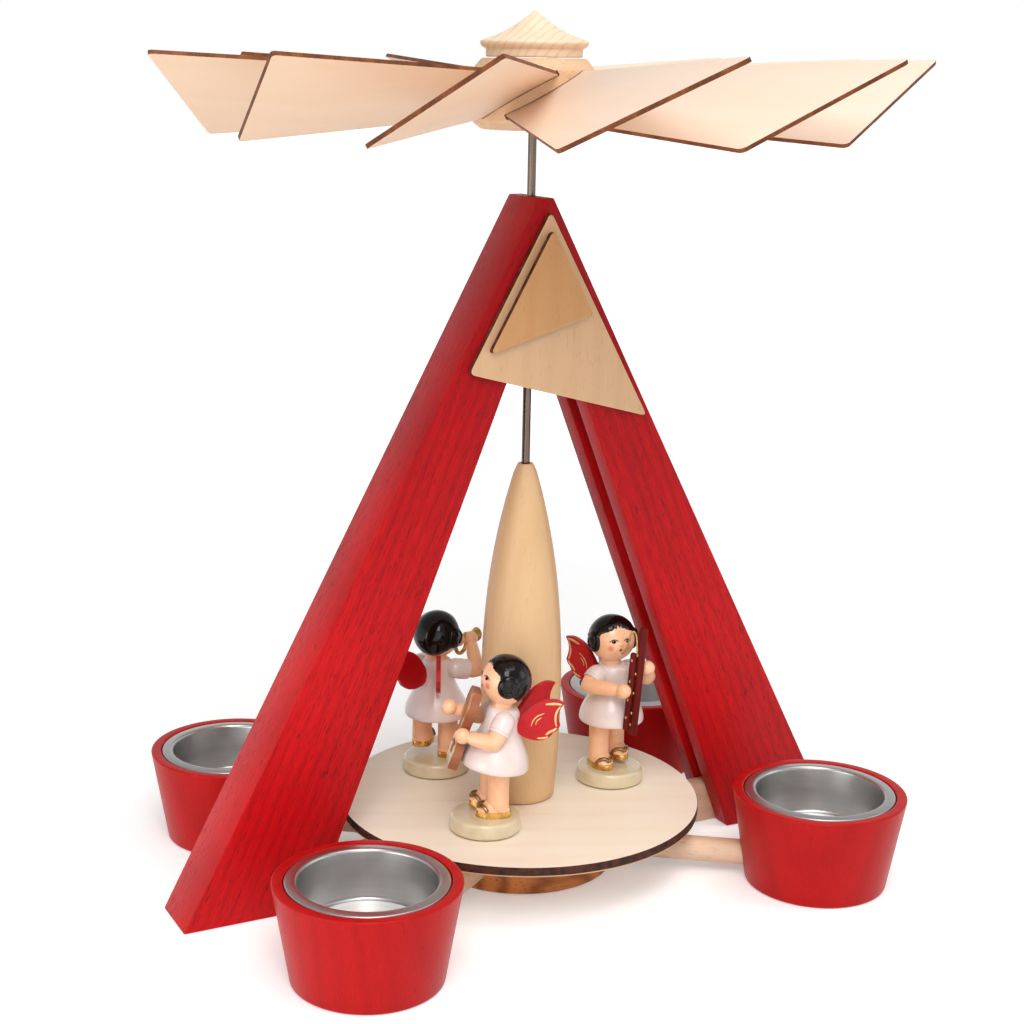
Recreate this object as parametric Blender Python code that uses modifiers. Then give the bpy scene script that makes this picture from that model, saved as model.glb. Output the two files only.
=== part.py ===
"""Tea-light pyramid: a red A-frame, a winged carousel with three angels, and four candle cups.

Sizes are in metres, +Z is up, the front faces -Y and the carousel turns about Z.
"""

import math
from dataclasses import dataclass

import bmesh
import bpy
from mathutils import Matrix, Vector

# Fits
GAP = 0.0003
OVERRUN = 0.010

# A-frame
FRAME_HEIGHT = 0.2132
APEX_DROP = 0.0242
FOOT_LENGTH = 0.0413
HEAD_HALF_WIDTH = 0.0024
LEG_THICKNESS = 0.020
LEG_CLEARANCE = 0.0091
GROOVE_DEPTH = 0.005

# Gable boards on the front of the frame, as corners (x, drop below the frame's top)
GABLE_BOARD_THICKNESS = 0.0018
GABLE_PLATE = ((0.0003, 0.0038), (-0.0260, 0.0508), (0.0360, 0.0677))
GABLE_PANEL = ((0.0001, 0.0090), (-0.0201, 0.0449), (0.0147, 0.0349))

# Crossbar, base hub and thrust bearing
CROSSBAR_HEIGHT = 0.014
CROSSBAR_THICKNESS = 0.0056
LAP_HEIGHT = 0.007
BASE_HUB_RADIUS = 0.031
BASE_HUB_HEIGHT = 0.0165
BASE_HUB_EDGE = 0.0008
BEARING_RADIUS = 0.0047
BEARING_HEIGHT = 0.006
BEARING_SEAT_DEPTH = 0.0035
BEARING_SEAT_RADIUS = 0.0008

# Candle cups, their arms and the tea-light inserts
CUP_BLOCK = 0.015
CUP_RIM_WALL = 0.00335
CUP_TAPER = 0.00505
CUP_EDGE = 0.001
CUP_CLEARANCE = 0.0108
CUP_ANGLE = math.radians(35.9)
ARM_RADIUS = 0.004
ARM_HEIGHT = 0.0071
ARM_SINK_IN_HUB = 0.012
ARM_SINK_IN_CUP = 0.010
INSERT_OPENING_RADIUS = 0.020
INSERT_TAPER = 0.0015
INSERT_FLANGE = 0.0035
INSERT_SHEET = 0.0008
INSERT_DEPTH = 0.015
INSERT_LIP = 0.0012

# Shaft, turntable and spindle sleeve
SHAFT_RADIUS = 0.0013
SHAFT_POINT_LENGTH = 0.003
SHAFT_POINT_RADIUS = 0.0003
SHAFT_IN_WHEEL = 0.015
TURNTABLE_RADIUS = 0.05785
TURNTABLE_THICKNESS = 0.003
TURNTABLE_LIFT = 0.002
SLEEVE_HEIGHT = 0.1093
SLEEVE_TOP_RADIUS = 0.0028
SLEEVE_BELLY_RADIUS = 0.0128
SLEEVE_BELLY_HEIGHT = 0.0355
SLEEVE_BASE_RADIUS = 0.0113
SLEEVE_NOSE_POWER = 2.3
SLEEVE_FOOT_POWER = 2.0

# Blade wheel
WHEEL_LIFT = 0.0195
WHEEL_HUB_RADIUS = 0.01825
WHEEL_HUB_HEIGHT = 0.0206
WHEEL_HUB_END_RADIUS = 0.0155
WHEEL_HUB_TOP_CHAMFER = 0.0033
WHEEL_HUB_BOTTOM_CHAMFER = 0.0023
CAP_NECK_RADIUS = 0.0142
CAP_NECK_HEIGHT = 0.0024
CAP_BRIM_RADIUS = 0.016
CAP_BRIM_HEIGHT = 0.0023
CAP_BRIM_SLOPE = 0.0009
CAP_ROOF_HEIGHT = 0.0088
CAP_ROOF_HOLLOW = 0.0012
BLADE_COUNT = 12
BLADE_THICKNESS = 0.00125
BLADE_RAISE = 0.001
BLADE_TILT = math.radians(29.2)
BLADE_FIRST_AZIMUTH = math.radians(259.1)
BLADE_ROOT = 0.0115
BLADE_ROOT_TOP = 0.0115
BLADE_ROOT_BOTTOM = -0.0137
BLADE_TIP_TOP = (0.1153, 0.0212)
BLADE_TIP_BOTTOM = (0.0934, -0.0260)

# Angel figures: heights are measured from the turntable
PLINTH_RADIUS = 0.0112
PLINTH_TOP_RADIUS = 0.0107
PLINTH_HEIGHT = 0.0048
PLINTH_EDGE = 0.0006
FIGURE_LEG_RADIUS = 0.0034
SHOE_HEIGHT = 0.0022
SHOE_LENGTH = 0.0107
SHOE_WIDTH = 0.0064
SHOE_TOE = 0.0068
HEM_HEIGHT = 0.0207
HEM_RADIUS = 0.0106
HEM_ROUND = 0.0012
DRESS_WAIST_HEIGHT = 0.036
DRESS_CHEST_RADIUS = 0.0054
DRESS_TOP = 0.0398
COLLAR_RADIUS = 0.0036
COLLAR_SLOPE = 60
HIP_RADIUS = 0.0089
HIP_HEIGHT = 0.0021
HIP_RECESS_DEPTH = 0.003
HEAD_RADIUS = 0.0075
NECK_RADIUS = 0.0032
NECK_LENGTH = 0.0012
LIMB_RADIUS = 0.0024
SHOULDER_SCALE = 1.25
WRIST_SCALE = 0.88
WRIST_SHARE = 0.7
SHOULDER_HEIGHT = 0.0370
SHOULDER_OFFSET = 0.0062
WING_THICKNESS = 0.0015
WING_HEIGHT = 0.0389
WING_ROOT_SPACING = 0.0021
WING_ROOT_SINK = 0.0010
WING_STRIP = (0.0012, 0.0066, 0.0030)
WING_STRIP_DROP = 0.0014
WING_CORNERS = (
    (0.0, -0.0012),
    (0.0012, -0.0044),
    (0.0074, -0.0063),
    (0.0108, -0.0046),
    (0.0132, -0.0016),
    (0.0121, 0.0014),
    (0.0143, 0.0061),
    (0.0087, 0.0066),
    (0.0040, 0.0052),
    (0.0004, 0.0008),
)
FIDDLE_THICKNESS = 0.0028
FIDDLE_HALF_WIDTH = 0.005
FIDDLE_WAIST = 0.0036
FIDDLE_WAIST_POWER = 4
FIDDLE_END_SHARE = 0.72
FIDDLE_END_SLOPE = 2.2
FIDDLE_BELOW_HEAD = 0.0043
FIDDLE_BOTTOM_HEIGHT = 0.0187
FIDDLE_OFF_HEM = 0.0011
BASSOON_LONG_RADIUS = 0.00145
BASSOON_LONG = ((0.0124, -0.0002, 0.0193), (0.0122, 0.0031, 0.0548))
BASSOON_SHORT_RADIUS = 0.0011
BASSOON_SHORT = ((0.0120, -0.0022, 0.0212), (0.0118, 0.00015, 0.0468))
TRUMPET_REACH = 0.0007
TRUMPET_BELOW_HEAD = 0.0029
TRUMPET_LENGTH = 0.0125
TRUMPET_DROP = math.radians(8)
TRUMPET_TURN = math.radians(-22)
TRUMPET_LEFT_GRIP = (0.0041, -0.0004, -0.0019)
TRUMPET_RIGHT_GRIP = (0.0071, -0.0040, -0.0020)
TRUMPET_TUBE_RADIUS = 0.0009
TRUMPET_BELL_RADIUS = 0.0024
TRUMPET_BELL_LENGTH = 0.0045

# Facets
ROUND_STEPS = 48
SMALL_STEPS = 24
PIN_STEPS = 12
SLEEVE_ROWS = 14
CAP_ROWS = 6
DRESS_ROWS = 6
COLLAR_ROWS = 2
HEAD_ROWS = 9
SHOE_ROWS = 5
FIDDLE_ROWS = 8
TRUMPET_ROWS = 4
SHARP_ANGLE = math.radians(35)
TURN_MERGE = 0.00001
CURVE_WELD = 0.000001
SLOT_OVERRUN = 2

# Derived places
APEX_HEIGHT = FRAME_HEIGHT - APEX_DROP
TURNTABLE_BOTTOM = BASE_HUB_HEIGHT + TURNTABLE_LIFT
TURNTABLE_TOP = TURNTABLE_BOTTOM + TURNTABLE_THICKNESS
FOOT_INNER = (TURNTABLE_RADIUS + LEG_CLEARANCE) * APEX_HEIGHT / (APEX_HEIGHT - TURNTABLE_TOP)
FOOT_OUTER = FOOT_INNER + FOOT_LENGTH
GROOVE_WIDTH = CROSSBAR_THICKNESS + 2 * GAP
SHAFT_BORE = SHAFT_RADIUS + GAP
BEARING_BOTTOM = BASE_HUB_HEIGHT - BEARING_HEIGHT
SHAFT_TIP = BASE_HUB_HEIGHT - BEARING_SEAT_DEPTH + GAP
INSERT_FLOOR_RADIUS = INSERT_OPENING_RADIUS - INSERT_TAPER
INSERT_FLANGE_RADIUS = INSERT_OPENING_RADIUS + INSERT_FLANGE
CUP_HEIGHT = CUP_BLOCK + INSERT_DEPTH
CUP_RIM_RADIUS = INSERT_FLANGE_RADIUS + GAP + CUP_RIM_WALL
CUP_FOOT_RADIUS = CUP_RIM_RADIUS - CUP_TAPER
CUP_CIRCLE = TURNTABLE_RADIUS + CUP_CLEARANCE + CUP_RIM_RADIUS
SLEEVE_BOTTOM = TURNTABLE_TOP + GAP
WHEEL_BOTTOM = FRAME_HEIGHT + WHEEL_LIFT
WHEEL_TOP = WHEEL_BOTTOM + WHEEL_HUB_HEIGHT
BLADE_HEIGHT = (
    WHEEL_BOTTOM + WHEEL_HUB_BOTTOM_CHAMFER + WHEEL_TOP - WHEEL_HUB_TOP_CHAMFER
) / 2 + BLADE_RAISE
SHAFT_TOP = WHEEL_BOTTOM + SHAFT_IN_WHEEL
HEAD_HEIGHT = DRESS_TOP + GAP + math.sqrt(HEAD_RADIUS**2 - NECK_RADIUS**2) + NECK_LENGTH
FIDDLE_TOP = (HEAD_RADIUS + FIDDLE_THICKNESS / 2, HEAD_HEIGHT - FIDDLE_BELOW_HEAD)
FIDDLE_BOTTOM = (HEM_RADIUS + FIDDLE_THICKNESS / 2 + FIDDLE_OFF_HEM, FIDDLE_BOTTOM_HEIGHT)
TRUMPET_OUT = math.sqrt(HEAD_RADIUS**2 - TRUMPET_BELOW_HEAD**2) + TRUMPET_REACH
TRUMPET_START = (
    TRUMPET_OUT * math.cos(TRUMPET_TURN),
    TRUMPET_OUT * math.sin(TRUMPET_TURN),
    HEAD_HEIGHT - TRUMPET_BELOW_HEAD,
)

# Rotation that stands a plate drawn in (x, z) on its edge, facing the front
UPRIGHT = (math.pi / 2, 0.0, 0.0)

# Corners where the cups and their arms stand
CORNERS = {
    "front_left": math.pi + CUP_ANGLE,
    "front_right": -CUP_ANGLE,
    "back_right": CUP_ANGLE,
    "back_left": math.pi - CUP_ANGLE,
}


@dataclass(frozen=True)
class Figure:
    """One angel: where it stands, how it holds its instrument, its feet (x, y, lift) and wings (flare, lift)."""

    name: str
    instrument: str
    azimuth: float
    ring_radius: float
    facing: float
    lean: float
    stand_back: float
    torso_drop: float
    head_forward: float
    left_foot: tuple
    right_foot: tuple
    left_wing: tuple
    right_wing: tuple
    left_elbow: tuple
    left_hand: tuple
    right_elbow: tuple
    right_hand: tuple


FIGURES = (
    Figure(
        name="fiddle_angel",
        instrument="fiddle",
        azimuth=math.radians(222.5),
        ring_radius=0.031,
        facing=math.radians(158),
        lean=math.radians(8),
        stand_back=0.0025,
        torso_drop=0.0,
        head_forward=0.0007,
        left_foot=(-0.0037, 0.0021, 0.0),
        right_foot=(-0.0020, -0.0049, 0.0006),
        left_wing=(math.radians(19.3), 0.0),
        right_wing=(math.radians(34), 0.0010),
        left_elbow=(0.0024, 0.0088, 0.0304),
        left_hand=(0.0118, 0.0056, 0.0306),
        right_elbow=(0.0060, -0.0090, 0.0325),
        right_hand=(0.0158, -0.0058, 0.0353),
    ),
    Figure(
        name="bassoon_angel",
        instrument="bassoon",
        azimuth=math.radians(357.3),
        ring_radius=0.0332,
        facing=math.radians(274),
        lean=0.0,
        stand_back=0.0,
        torso_drop=0.0,
        head_forward=-0.0010,
        left_foot=(-0.0037, 0.0040, 0.0014),
        right_foot=(-0.0014, -0.0036, 0.0),
        left_wing=(math.radians(19.3), 0.0),
        right_wing=(math.radians(19.3), 0.0),
        left_elbow=(0.0070, 0.0090, 0.0355),
        left_hand=(0.0113, 0.0056, 0.0406),
        right_elbow=(0.0008, -0.0102, 0.0340),
        right_hand=(0.0120, -0.0040, 0.0345),
    ),
    Figure(
        name="trumpet_angel",
        instrument="trumpet",
        azimuth=math.radians(117.5),
        ring_radius=0.0337,
        facing=math.radians(45),
        lean=0.0,
        stand_back=0.0,
        torso_drop=0.0012,
        head_forward=0.0,
        left_foot=(0.0008, 0.0053, 0.0028),
        right_foot=(0.0014, -0.0036, 0.0),
        left_wing=(math.radians(28), 0.0),
        right_wing=(math.radians(19.3), 0.0),
        left_elbow=(0.0085, 0.0075, 0.0355),
        left_hand=tuple(Vector(TRUMPET_START) + Vector(TRUMPET_LEFT_GRIP)),
        right_elbow=(0.0060, -0.0120, 0.0352),
        right_hand=tuple(Vector(TRUMPET_START) + Vector(TRUMPET_RIGHT_GRIP)),
    ),
)


# Scene and materials


def clear_scene():
    """Remove what the start-up scene holds."""
    for obj in list(bpy.data.objects):
        bpy.data.objects.remove(obj)


def new_collection(name):
    """Make a collection in the scene."""
    collection = bpy.data.collections.new(name)
    bpy.context.scene.collection.children.link(collection)
    return collection


def new_material(name, colour, roughness, metallic=0.0):
    """Make a Principled material."""
    material = bpy.data.materials.new(name)
    material.use_nodes = True
    shader = material.node_tree.nodes["Principled BSDF"]
    shader.inputs["Base Color"].default_value = (*colour, 1.0)
    shader.inputs["Roughness"].default_value = roughness
    shader.inputs["Metallic"].default_value = metallic
    return material


clear_scene()
PARTS = new_collection("tealight_pyramid")
CUTTERS = new_collection("cutters")
RED_ASH = new_material("red_stained_ash", (0.56, 0.03, 0.04), 0.45)
BEECH = new_material("natural_beech", (0.62, 0.38, 0.20), 0.5)
HUB_WOOD = new_material("oiled_beech", (0.36, 0.17, 0.07), 0.5)
MAPLE = new_material("pale_maple_ply", (0.80, 0.62, 0.42), 0.5)
TURNED_MAPLE = new_material("turned_maple", (0.76, 0.55, 0.34), 0.45)
STEEL = new_material("steel", (0.45, 0.43, 0.40), 0.3, 1.0)
INSERT_STEEL = new_material("spun_steel", (0.42, 0.42, 0.42), 0.35, 1.0)
WHITE_PAINT = new_material("white_lacquer", (0.84, 0.81, 0.81), 0.25)
SKIN_PAINT = new_material("skin_lacquer", (0.86, 0.50, 0.34), 0.25)
HEAD_PAINT = new_material("head_lacquer", (0.86, 0.52, 0.36), 0.25)
WING_RED = new_material("wing_red_lacquer", (0.55, 0.02, 0.04), 0.3)
PLINTH_PAINT = new_material("plinth_lacquer", (0.60, 0.57, 0.42), 0.3)
INSTRUMENT_BROWN = new_material("instrument_brown", (0.20, 0.05, 0.03), 0.4)
GOLD_PAINT = new_material("gold_paint", (0.70, 0.48, 0.16), 0.35, 1.0)


# Shape helpers


def place(obj, material=None, parent=None, location=(0.0, 0.0, 0.0), rotation=(0.0, 0.0, 0.0)):
    """Put a part in the object's collection, or a cutter among the cutters if it has no material."""
    obj.location = location
    obj.rotation_euler = rotation
    obj.parent = parent
    if material is None:
        CUTTERS.objects.link(obj)
        obj.hide_render = True
        obj.display_type = "WIRE"
        return obj
    PARTS.objects.link(obj)
    obj.data.materials.append(material)
    return obj


def frame_empty(name, parent=None, location=(0.0, 0.0, 0.0), rotation=(0.0, 0.0, 0.0)):
    """Make an empty that carries other pieces."""
    empty = bpy.data.objects.new(name, None)
    empty.location = location
    empty.rotation_euler = rotation
    empty.parent = parent
    PARTS.objects.link(empty)
    return empty


def shade_by_angle(mesh):
    """Shade round pieces smooth and keep their edges."""
    mesh.shade_smooth()
    mesh.set_sharp_from_angle(angle=SHARP_ANGLE)


def turned(name, profile, steps=ROUND_STEPS, ring=False):
    """Turn a profile of (radius, height) points, listed top to bottom on its outer side."""
    mesh = bpy.data.meshes.new(name)
    points = [(radius, 0.0, height) for radius, height in profile]
    edges = [(i, i + 1) for i in range(len(points) - 1)]
    if ring:
        edges.append((len(points) - 1, 0))
    mesh.from_pydata(points, edges, [])
    obj = bpy.data.objects.new(name, mesh)
    screw = obj.modifiers.new("turn", "SCREW")
    screw.axis = "Z"
    screw.steps = steps
    screw.render_steps = steps
    screw.use_merge_vertices = True
    screw.merge_threshold = TURN_MERGE
    return obj


def solid_from_curve(name, curve):
    """Turn a curve into a closed mesh with welded caps."""
    guide = bpy.data.objects.new(name + "_guide", curve)
    bpy.context.scene.collection.objects.link(guide)
    graph = bpy.context.evaluated_depsgraph_get()
    mesh = bpy.data.meshes.new_from_object(guide.evaluated_get(graph))
    bpy.data.objects.remove(guide)
    mesh.name = name
    mesh.materials.clear()
    cage = bmesh.new()
    cage.from_mesh(mesh)
    bmesh.ops.remove_doubles(cage, verts=cage.verts, dist=CURVE_WELD)
    bmesh.ops.recalc_face_normals(cage, faces=cage.faces)
    cage.to_mesh(mesh)
    cage.free()
    return bpy.data.objects.new(name, mesh)


def plate(name, outline, thickness):
    """Cut a flat outline of (x, y) points from a board, centred on its thickness."""
    curve = bpy.data.curves.new(name, "CURVE")
    curve.dimensions = "2D"
    curve.fill_mode = "BOTH"
    curve.extrude = thickness / 2
    spline = curve.splines.new("POLY")
    spline.points.add(len(outline) - 1)
    for point, (x, y) in zip(spline.points, outline):
        point.co = (x, y, 0.0, 1.0)
    spline.use_cyclic_u = True
    return solid_from_curve(name, curve)


def tube(name, points, radius, scales=None, sides=2):
    """Run a round bar along points, with an optional scale of its radius at each."""
    curve = bpy.data.curves.new(name, "CURVE")
    curve.dimensions = "3D"
    curve.bevel_depth = radius
    curve.bevel_resolution = sides
    curve.use_fill_caps = True
    spline = curve.splines.new("POLY")
    spline.points.add(len(points) - 1)
    for point, place_at, scale in zip(spline.points, points, scales or [1.0] * len(points)):
        point.co = (*place_at, 1.0)
        point.radius = scale
    return solid_from_curve(name, curve)


def rod(name, radius, length, steps=SMALL_STEPS):
    """Make a round bar along Z that starts at its origin."""
    mesh = bpy.data.meshes.new(name)
    cage = bmesh.new()
    bmesh.ops.create_cone(
        cage, cap_ends=True, segments=steps, radius1=radius, radius2=radius, depth=length,
        matrix=Matrix.Translation((0.0, 0.0, length / 2)),
    )
    cage.to_mesh(mesh)
    cage.free()
    shade_by_angle(mesh)
    return bpy.data.objects.new(name, mesh)


def block(name, size):
    """Make a box centred on its origin."""
    mesh = bpy.data.meshes.new(name)
    cage = bmesh.new()
    bmesh.ops.create_cube(cage, size=1.0, matrix=Matrix.Diagonal((*size, 1.0)))
    cage.to_mesh(mesh)
    cage.free()
    return bpy.data.objects.new(name, mesh)


def combine(target, operation, *others):
    """Cut the others from a part, or join them to it."""
    for other in others:
        step = target.modifiers.new(other.name, "BOOLEAN")
        step.operation = operation
        step.solver = "EXACT"
        step.object = other


def arc(centre, radius, start, end, count):
    """Points on a circular arc, angles in degrees."""
    angles = [math.radians(start + (end - start) * i / count) for i in range(count + 1)]
    return [(centre[0] + radius * math.cos(a), centre[1] + radius * math.sin(a)) for a in angles]


# A-frame


def groove_shift():
    """Unit step from a leg's inner edge into the leg, as (x, z)."""
    length = math.hypot(FOOT_INNER, APEX_HEIGHT)
    return APEX_HEIGHT / length, FOOT_INNER / length


def inner_edge(height):
    """Distance from the axis to a leg's inner edge at a height."""
    return FOOT_INNER * (1 - height / APEX_HEIGHT)


def inner_height(distance):
    """Height of a leg's inner edge at a distance from the axis."""
    return APEX_HEIGHT * (1 - distance / FOOT_INNER)


def build_leg(name, side):
    """Make one tapered leg, grooved on its inner edge and bored for the shaft where the two meet."""
    corners = (
        (GAP / 2, FRAME_HEIGHT),
        (HEAD_HALF_WIDTH, FRAME_HEIGHT),
        (FOOT_OUTER, 0.0),
        (FOOT_INNER, 0.0),
        (GAP / 2, inner_height(GAP / 2)),
    )
    leg = plate(name, [(side * x, z) for x, z in corners], LEG_THICKNESS)
    place(leg, RED_ASH, rotation=UPRIGHT)
    into_x, into_z = groove_shift()
    groove_corners = []
    for reach, depth in ((-1, -1), (1, -1), (1, 1), (-1, 1)):
        height = APEX_HEIGHT / 2 + reach * (APEX_HEIGHT / 2 + OVERRUN)
        step = GROOVE_DEPTH if depth > 0 else -OVERRUN
        groove_corners.append((side * (inner_edge(height) + step * into_x), height + step * into_z))
    groove = place(plate(name + "_groove", groove_corners, GROOVE_WIDTH), rotation=UPRIGHT)
    bore = place(
        rod(name + "_bore", SHAFT_BORE, FRAME_HEIGHT, PIN_STEPS), location=(0.0, 0.0, OVERRUN)
    )
    combine(leg, "DIFFERENCE", groove, bore)


def build_crossbar():
    """Make the bar that ties the legs together, halved to cross the base hub."""
    into_x, _ = groove_shift()
    reach = (GROOVE_DEPTH - GAP) / into_x
    lap = BASE_HUB_RADIUS + GAP
    half = (
        (inner_edge(0.0) + reach, 0.0),
        (inner_edge(CROSSBAR_HEIGHT) + reach, CROSSBAR_HEIGHT),
        (lap, CROSSBAR_HEIGHT),
        (lap, LAP_HEIGHT),
    )
    outline = list(half) + [(-x, z) for x, z in reversed(half)]
    place(plate("crossbar", outline, CROSSBAR_THICKNESS), BEECH, rotation=UPRIGHT)


def build_gable():
    """Make the two stepped boards glued to the front of the frame."""
    step = GABLE_BOARD_THICKNESS + GAP
    front = LEG_THICKNESS / 2 + GAP + GABLE_BOARD_THICKNESS / 2
    boards = (("gable_plate", GABLE_PLATE), ("gable_panel", GABLE_PANEL))
    for index, (name, corners) in enumerate(boards):
        outline = [(x, FRAME_HEIGHT - drop) for x, drop in corners]
        place(
            plate(name, outline, GABLE_BOARD_THICKNESS), MAPLE,
            location=(0.0, -front - index * step, 0.0), rotation=UPRIGHT,
        )


# Base


def cup_radius(height):
    """Outer radius of a candle cup at a height."""
    return CUP_FOOT_RADIUS + (CUP_RIM_RADIUS - CUP_FOOT_RADIUS) * height / CUP_HEIGHT


def arm_place(azimuth, start):
    """Location and rotation of something round that lies along a candle arm."""
    location = (start * math.cos(azimuth), start * math.sin(azimuth), ARM_HEIGHT)
    return {"location": location, "rotation": (0.0, math.pi / 2, azimuth)}


def build_base_hub():
    """Make the turned hub with its bearing pocket, its arm bores and the slot for the crossbar."""
    pocket = BEARING_RADIUS + GAP
    floor = BEARING_BOTTOM - GAP
    profile = (
        (0.0, floor),
        (pocket, floor),
        (pocket, BASE_HUB_HEIGHT),
        (BASE_HUB_RADIUS - BASE_HUB_EDGE, BASE_HUB_HEIGHT),
        (BASE_HUB_RADIUS, BASE_HUB_HEIGHT - BASE_HUB_EDGE),
        (BASE_HUB_RADIUS, BASE_HUB_EDGE),
        (BASE_HUB_RADIUS - BASE_HUB_EDGE, 0.0),
        (0.0, 0.0),
    )
    hub = place(turned("base_hub", profile), HUB_WOOD)
    slot_top = LAP_HEIGHT + GAP
    slot = place(
        block("base_hub_slot", (2 * BASE_HUB_RADIUS + OVERRUN, GROOVE_WIDTH, slot_top + OVERRUN)),
        location=(0.0, 0.0, (slot_top - OVERRUN) / 2),
    )
    combine(hub, "DIFFERENCE", slot)
    for corner, azimuth in CORNERS.items():
        length = ARM_SINK_IN_HUB + OVERRUN
        bore = place(
            rod("base_hub_bore_" + corner, ARM_RADIUS + GAP, length),
            **arm_place(azimuth, BASE_HUB_RADIUS - ARM_SINK_IN_HUB - GAP),
        )
        combine(hub, "DIFFERENCE", bore)
    shade_by_angle(hub.data)


def build_bearing():
    """Make the bearing cup that the point of the shaft stands in."""
    seat = BASE_HUB_HEIGHT - BEARING_SEAT_DEPTH
    profile = (
        (0.0, seat),
        (BEARING_SEAT_RADIUS, seat),
        (SHAFT_RADIUS + BEARING_SEAT_RADIUS, BASE_HUB_HEIGHT),
        (BEARING_RADIUS, BASE_HUB_HEIGHT),
        (BEARING_RADIUS, BEARING_BOTTOM),
        (0.0, BEARING_BOTTOM),
    )
    place(turned("thrust_bearing", profile, SMALL_STEPS), STEEL)


def build_candle_corner(corner, azimuth):
    """Make one arm, the cup on its end and the steel insert that drops into the cup."""
    start = BASE_HUB_RADIUS - ARM_SINK_IN_HUB
    end = CUP_CIRCLE - cup_radius(ARM_HEIGHT) + ARM_SINK_IN_CUP
    arm = rod("candle_arm_" + corner, ARM_RADIUS, end - start)
    place(arm, BEECH, **arm_place(azimuth, start))
    centre = (CUP_CIRCLE * math.cos(azimuth), CUP_CIRCLE * math.sin(azimuth), 0.0)

    lip = CUP_HEIGHT - INSERT_LIP
    floor = CUP_HEIGHT - INSERT_DEPTH
    wall = INSERT_OPENING_RADIUS + INSERT_SHEET
    base = INSERT_FLOOR_RADIUS + INSERT_SHEET
    cup_profile = (
        (0.0, floor - INSERT_SHEET - GAP),
        (base + GAP, floor - INSERT_SHEET - GAP),
        (wall + GAP, lip - GAP),
        (INSERT_FLANGE_RADIUS + GAP, lip - GAP),
        (INSERT_FLANGE_RADIUS + GAP, CUP_HEIGHT),
        (CUP_RIM_RADIUS - CUP_EDGE, CUP_HEIGHT),
        (cup_radius(CUP_HEIGHT - CUP_EDGE), CUP_HEIGHT - CUP_EDGE),
        (cup_radius(CUP_EDGE), CUP_EDGE),
        (CUP_FOOT_RADIUS - CUP_EDGE, 0.0),
        (0.0, 0.0),
    )
    cup = place(turned("candle_cup_" + corner, cup_profile), RED_ASH, location=centre)
    bore_start = CUP_CIRCLE - cup_radius(ARM_HEIGHT) - OVERRUN
    bore = place(
        rod("candle_cup_bore_" + corner, ARM_RADIUS + GAP, end + GAP - bore_start),
        **arm_place(azimuth, bore_start),
    )
    combine(cup, "DIFFERENCE", bore)
    shade_by_angle(cup.data)

    insert_profile = (
        (0.0, floor),
        (INSERT_FLOOR_RADIUS, floor),
        (INSERT_OPENING_RADIUS, CUP_HEIGHT),
        (INSERT_FLANGE_RADIUS, CUP_HEIGHT),
        (INSERT_FLANGE_RADIUS, lip),
        (wall, lip),
        (base, floor - INSERT_SHEET),
        (0.0, floor - INSERT_SHEET),
    )
    insert = turned("tealight_insert_" + corner, insert_profile)
    place(insert, INSERT_STEEL, location=centre)
    shade_by_angle(insert.data)


# Carousel


def sleeve_radius(height):
    """Outer radius of the spindle sleeve at a height above its foot."""
    rise = height - SLEEVE_BELLY_HEIGHT
    if rise > 0:
        share = rise / (SLEEVE_HEIGHT - SLEEVE_BELLY_HEIGHT)
        return SLEEVE_BELLY_RADIUS - (SLEEVE_BELLY_RADIUS - SLEEVE_TOP_RADIUS) * share**SLEEVE_NOSE_POWER
    share = -rise / SLEEVE_BELLY_HEIGHT
    return SLEEVE_BELLY_RADIUS - (SLEEVE_BELLY_RADIUS - SLEEVE_BASE_RADIUS) * share**SLEEVE_FOOT_POWER


def build_spindle(axis):
    """Make the pointed shaft, the turntable and the bullet-shaped sleeve."""
    shaft_profile = (
        (0.0, SHAFT_TOP),
        (SHAFT_RADIUS, SHAFT_TOP),
        (SHAFT_RADIUS, SHAFT_TIP + SHAFT_POINT_LENGTH),
        (SHAFT_POINT_RADIUS, SHAFT_TIP),
        (0.0, SHAFT_TIP),
    )
    place(turned("shaft", shaft_profile, PIN_STEPS), STEEL, axis)
    table_profile = (
        (TURNTABLE_RADIUS, TURNTABLE_TOP),
        (TURNTABLE_RADIUS, TURNTABLE_BOTTOM),
        (SHAFT_BORE, TURNTABLE_BOTTOM),
        (SHAFT_BORE, TURNTABLE_TOP),
    )
    place(turned("turntable", table_profile, 2 * ROUND_STEPS, ring=True), MAPLE, axis)
    heights = [SLEEVE_HEIGHT * (1 - i / SLEEVE_ROWS) for i in range(SLEEVE_ROWS + 1)]
    sleeve_profile = [(sleeve_radius(height), SLEEVE_BOTTOM + height) for height in heights]
    sleeve_profile.append((SHAFT_BORE, SLEEVE_BOTTOM))
    sleeve_profile.append((SHAFT_BORE, SLEEVE_BOTTOM + SLEEVE_HEIGHT))
    sleeve = turned("spindle_sleeve", sleeve_profile, SMALL_STEPS, ring=True)
    place(sleeve, TURNED_MAPLE, axis)
    shade_by_angle(sleeve.data)


def blade_outline(grow=0.0, reach=1.0):
    """Corners of a blade along and across its radius, grown and shortened where it cuts its slot."""
    top = Vector((BLADE_ROOT, BLADE_ROOT_TOP))
    bottom = Vector((BLADE_ROOT, BLADE_ROOT_BOTTOM))
    tip_top = top.lerp(Vector(BLADE_TIP_TOP), reach)
    tip_bottom = bottom.lerp(Vector(BLADE_TIP_BOTTOM), reach)
    rise = Vector((0.0, grow))
    back = Vector((-grow, 0.0))
    return [top + rise + back, bottom - rise + back, tip_bottom - rise, tip_top + rise]


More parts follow.
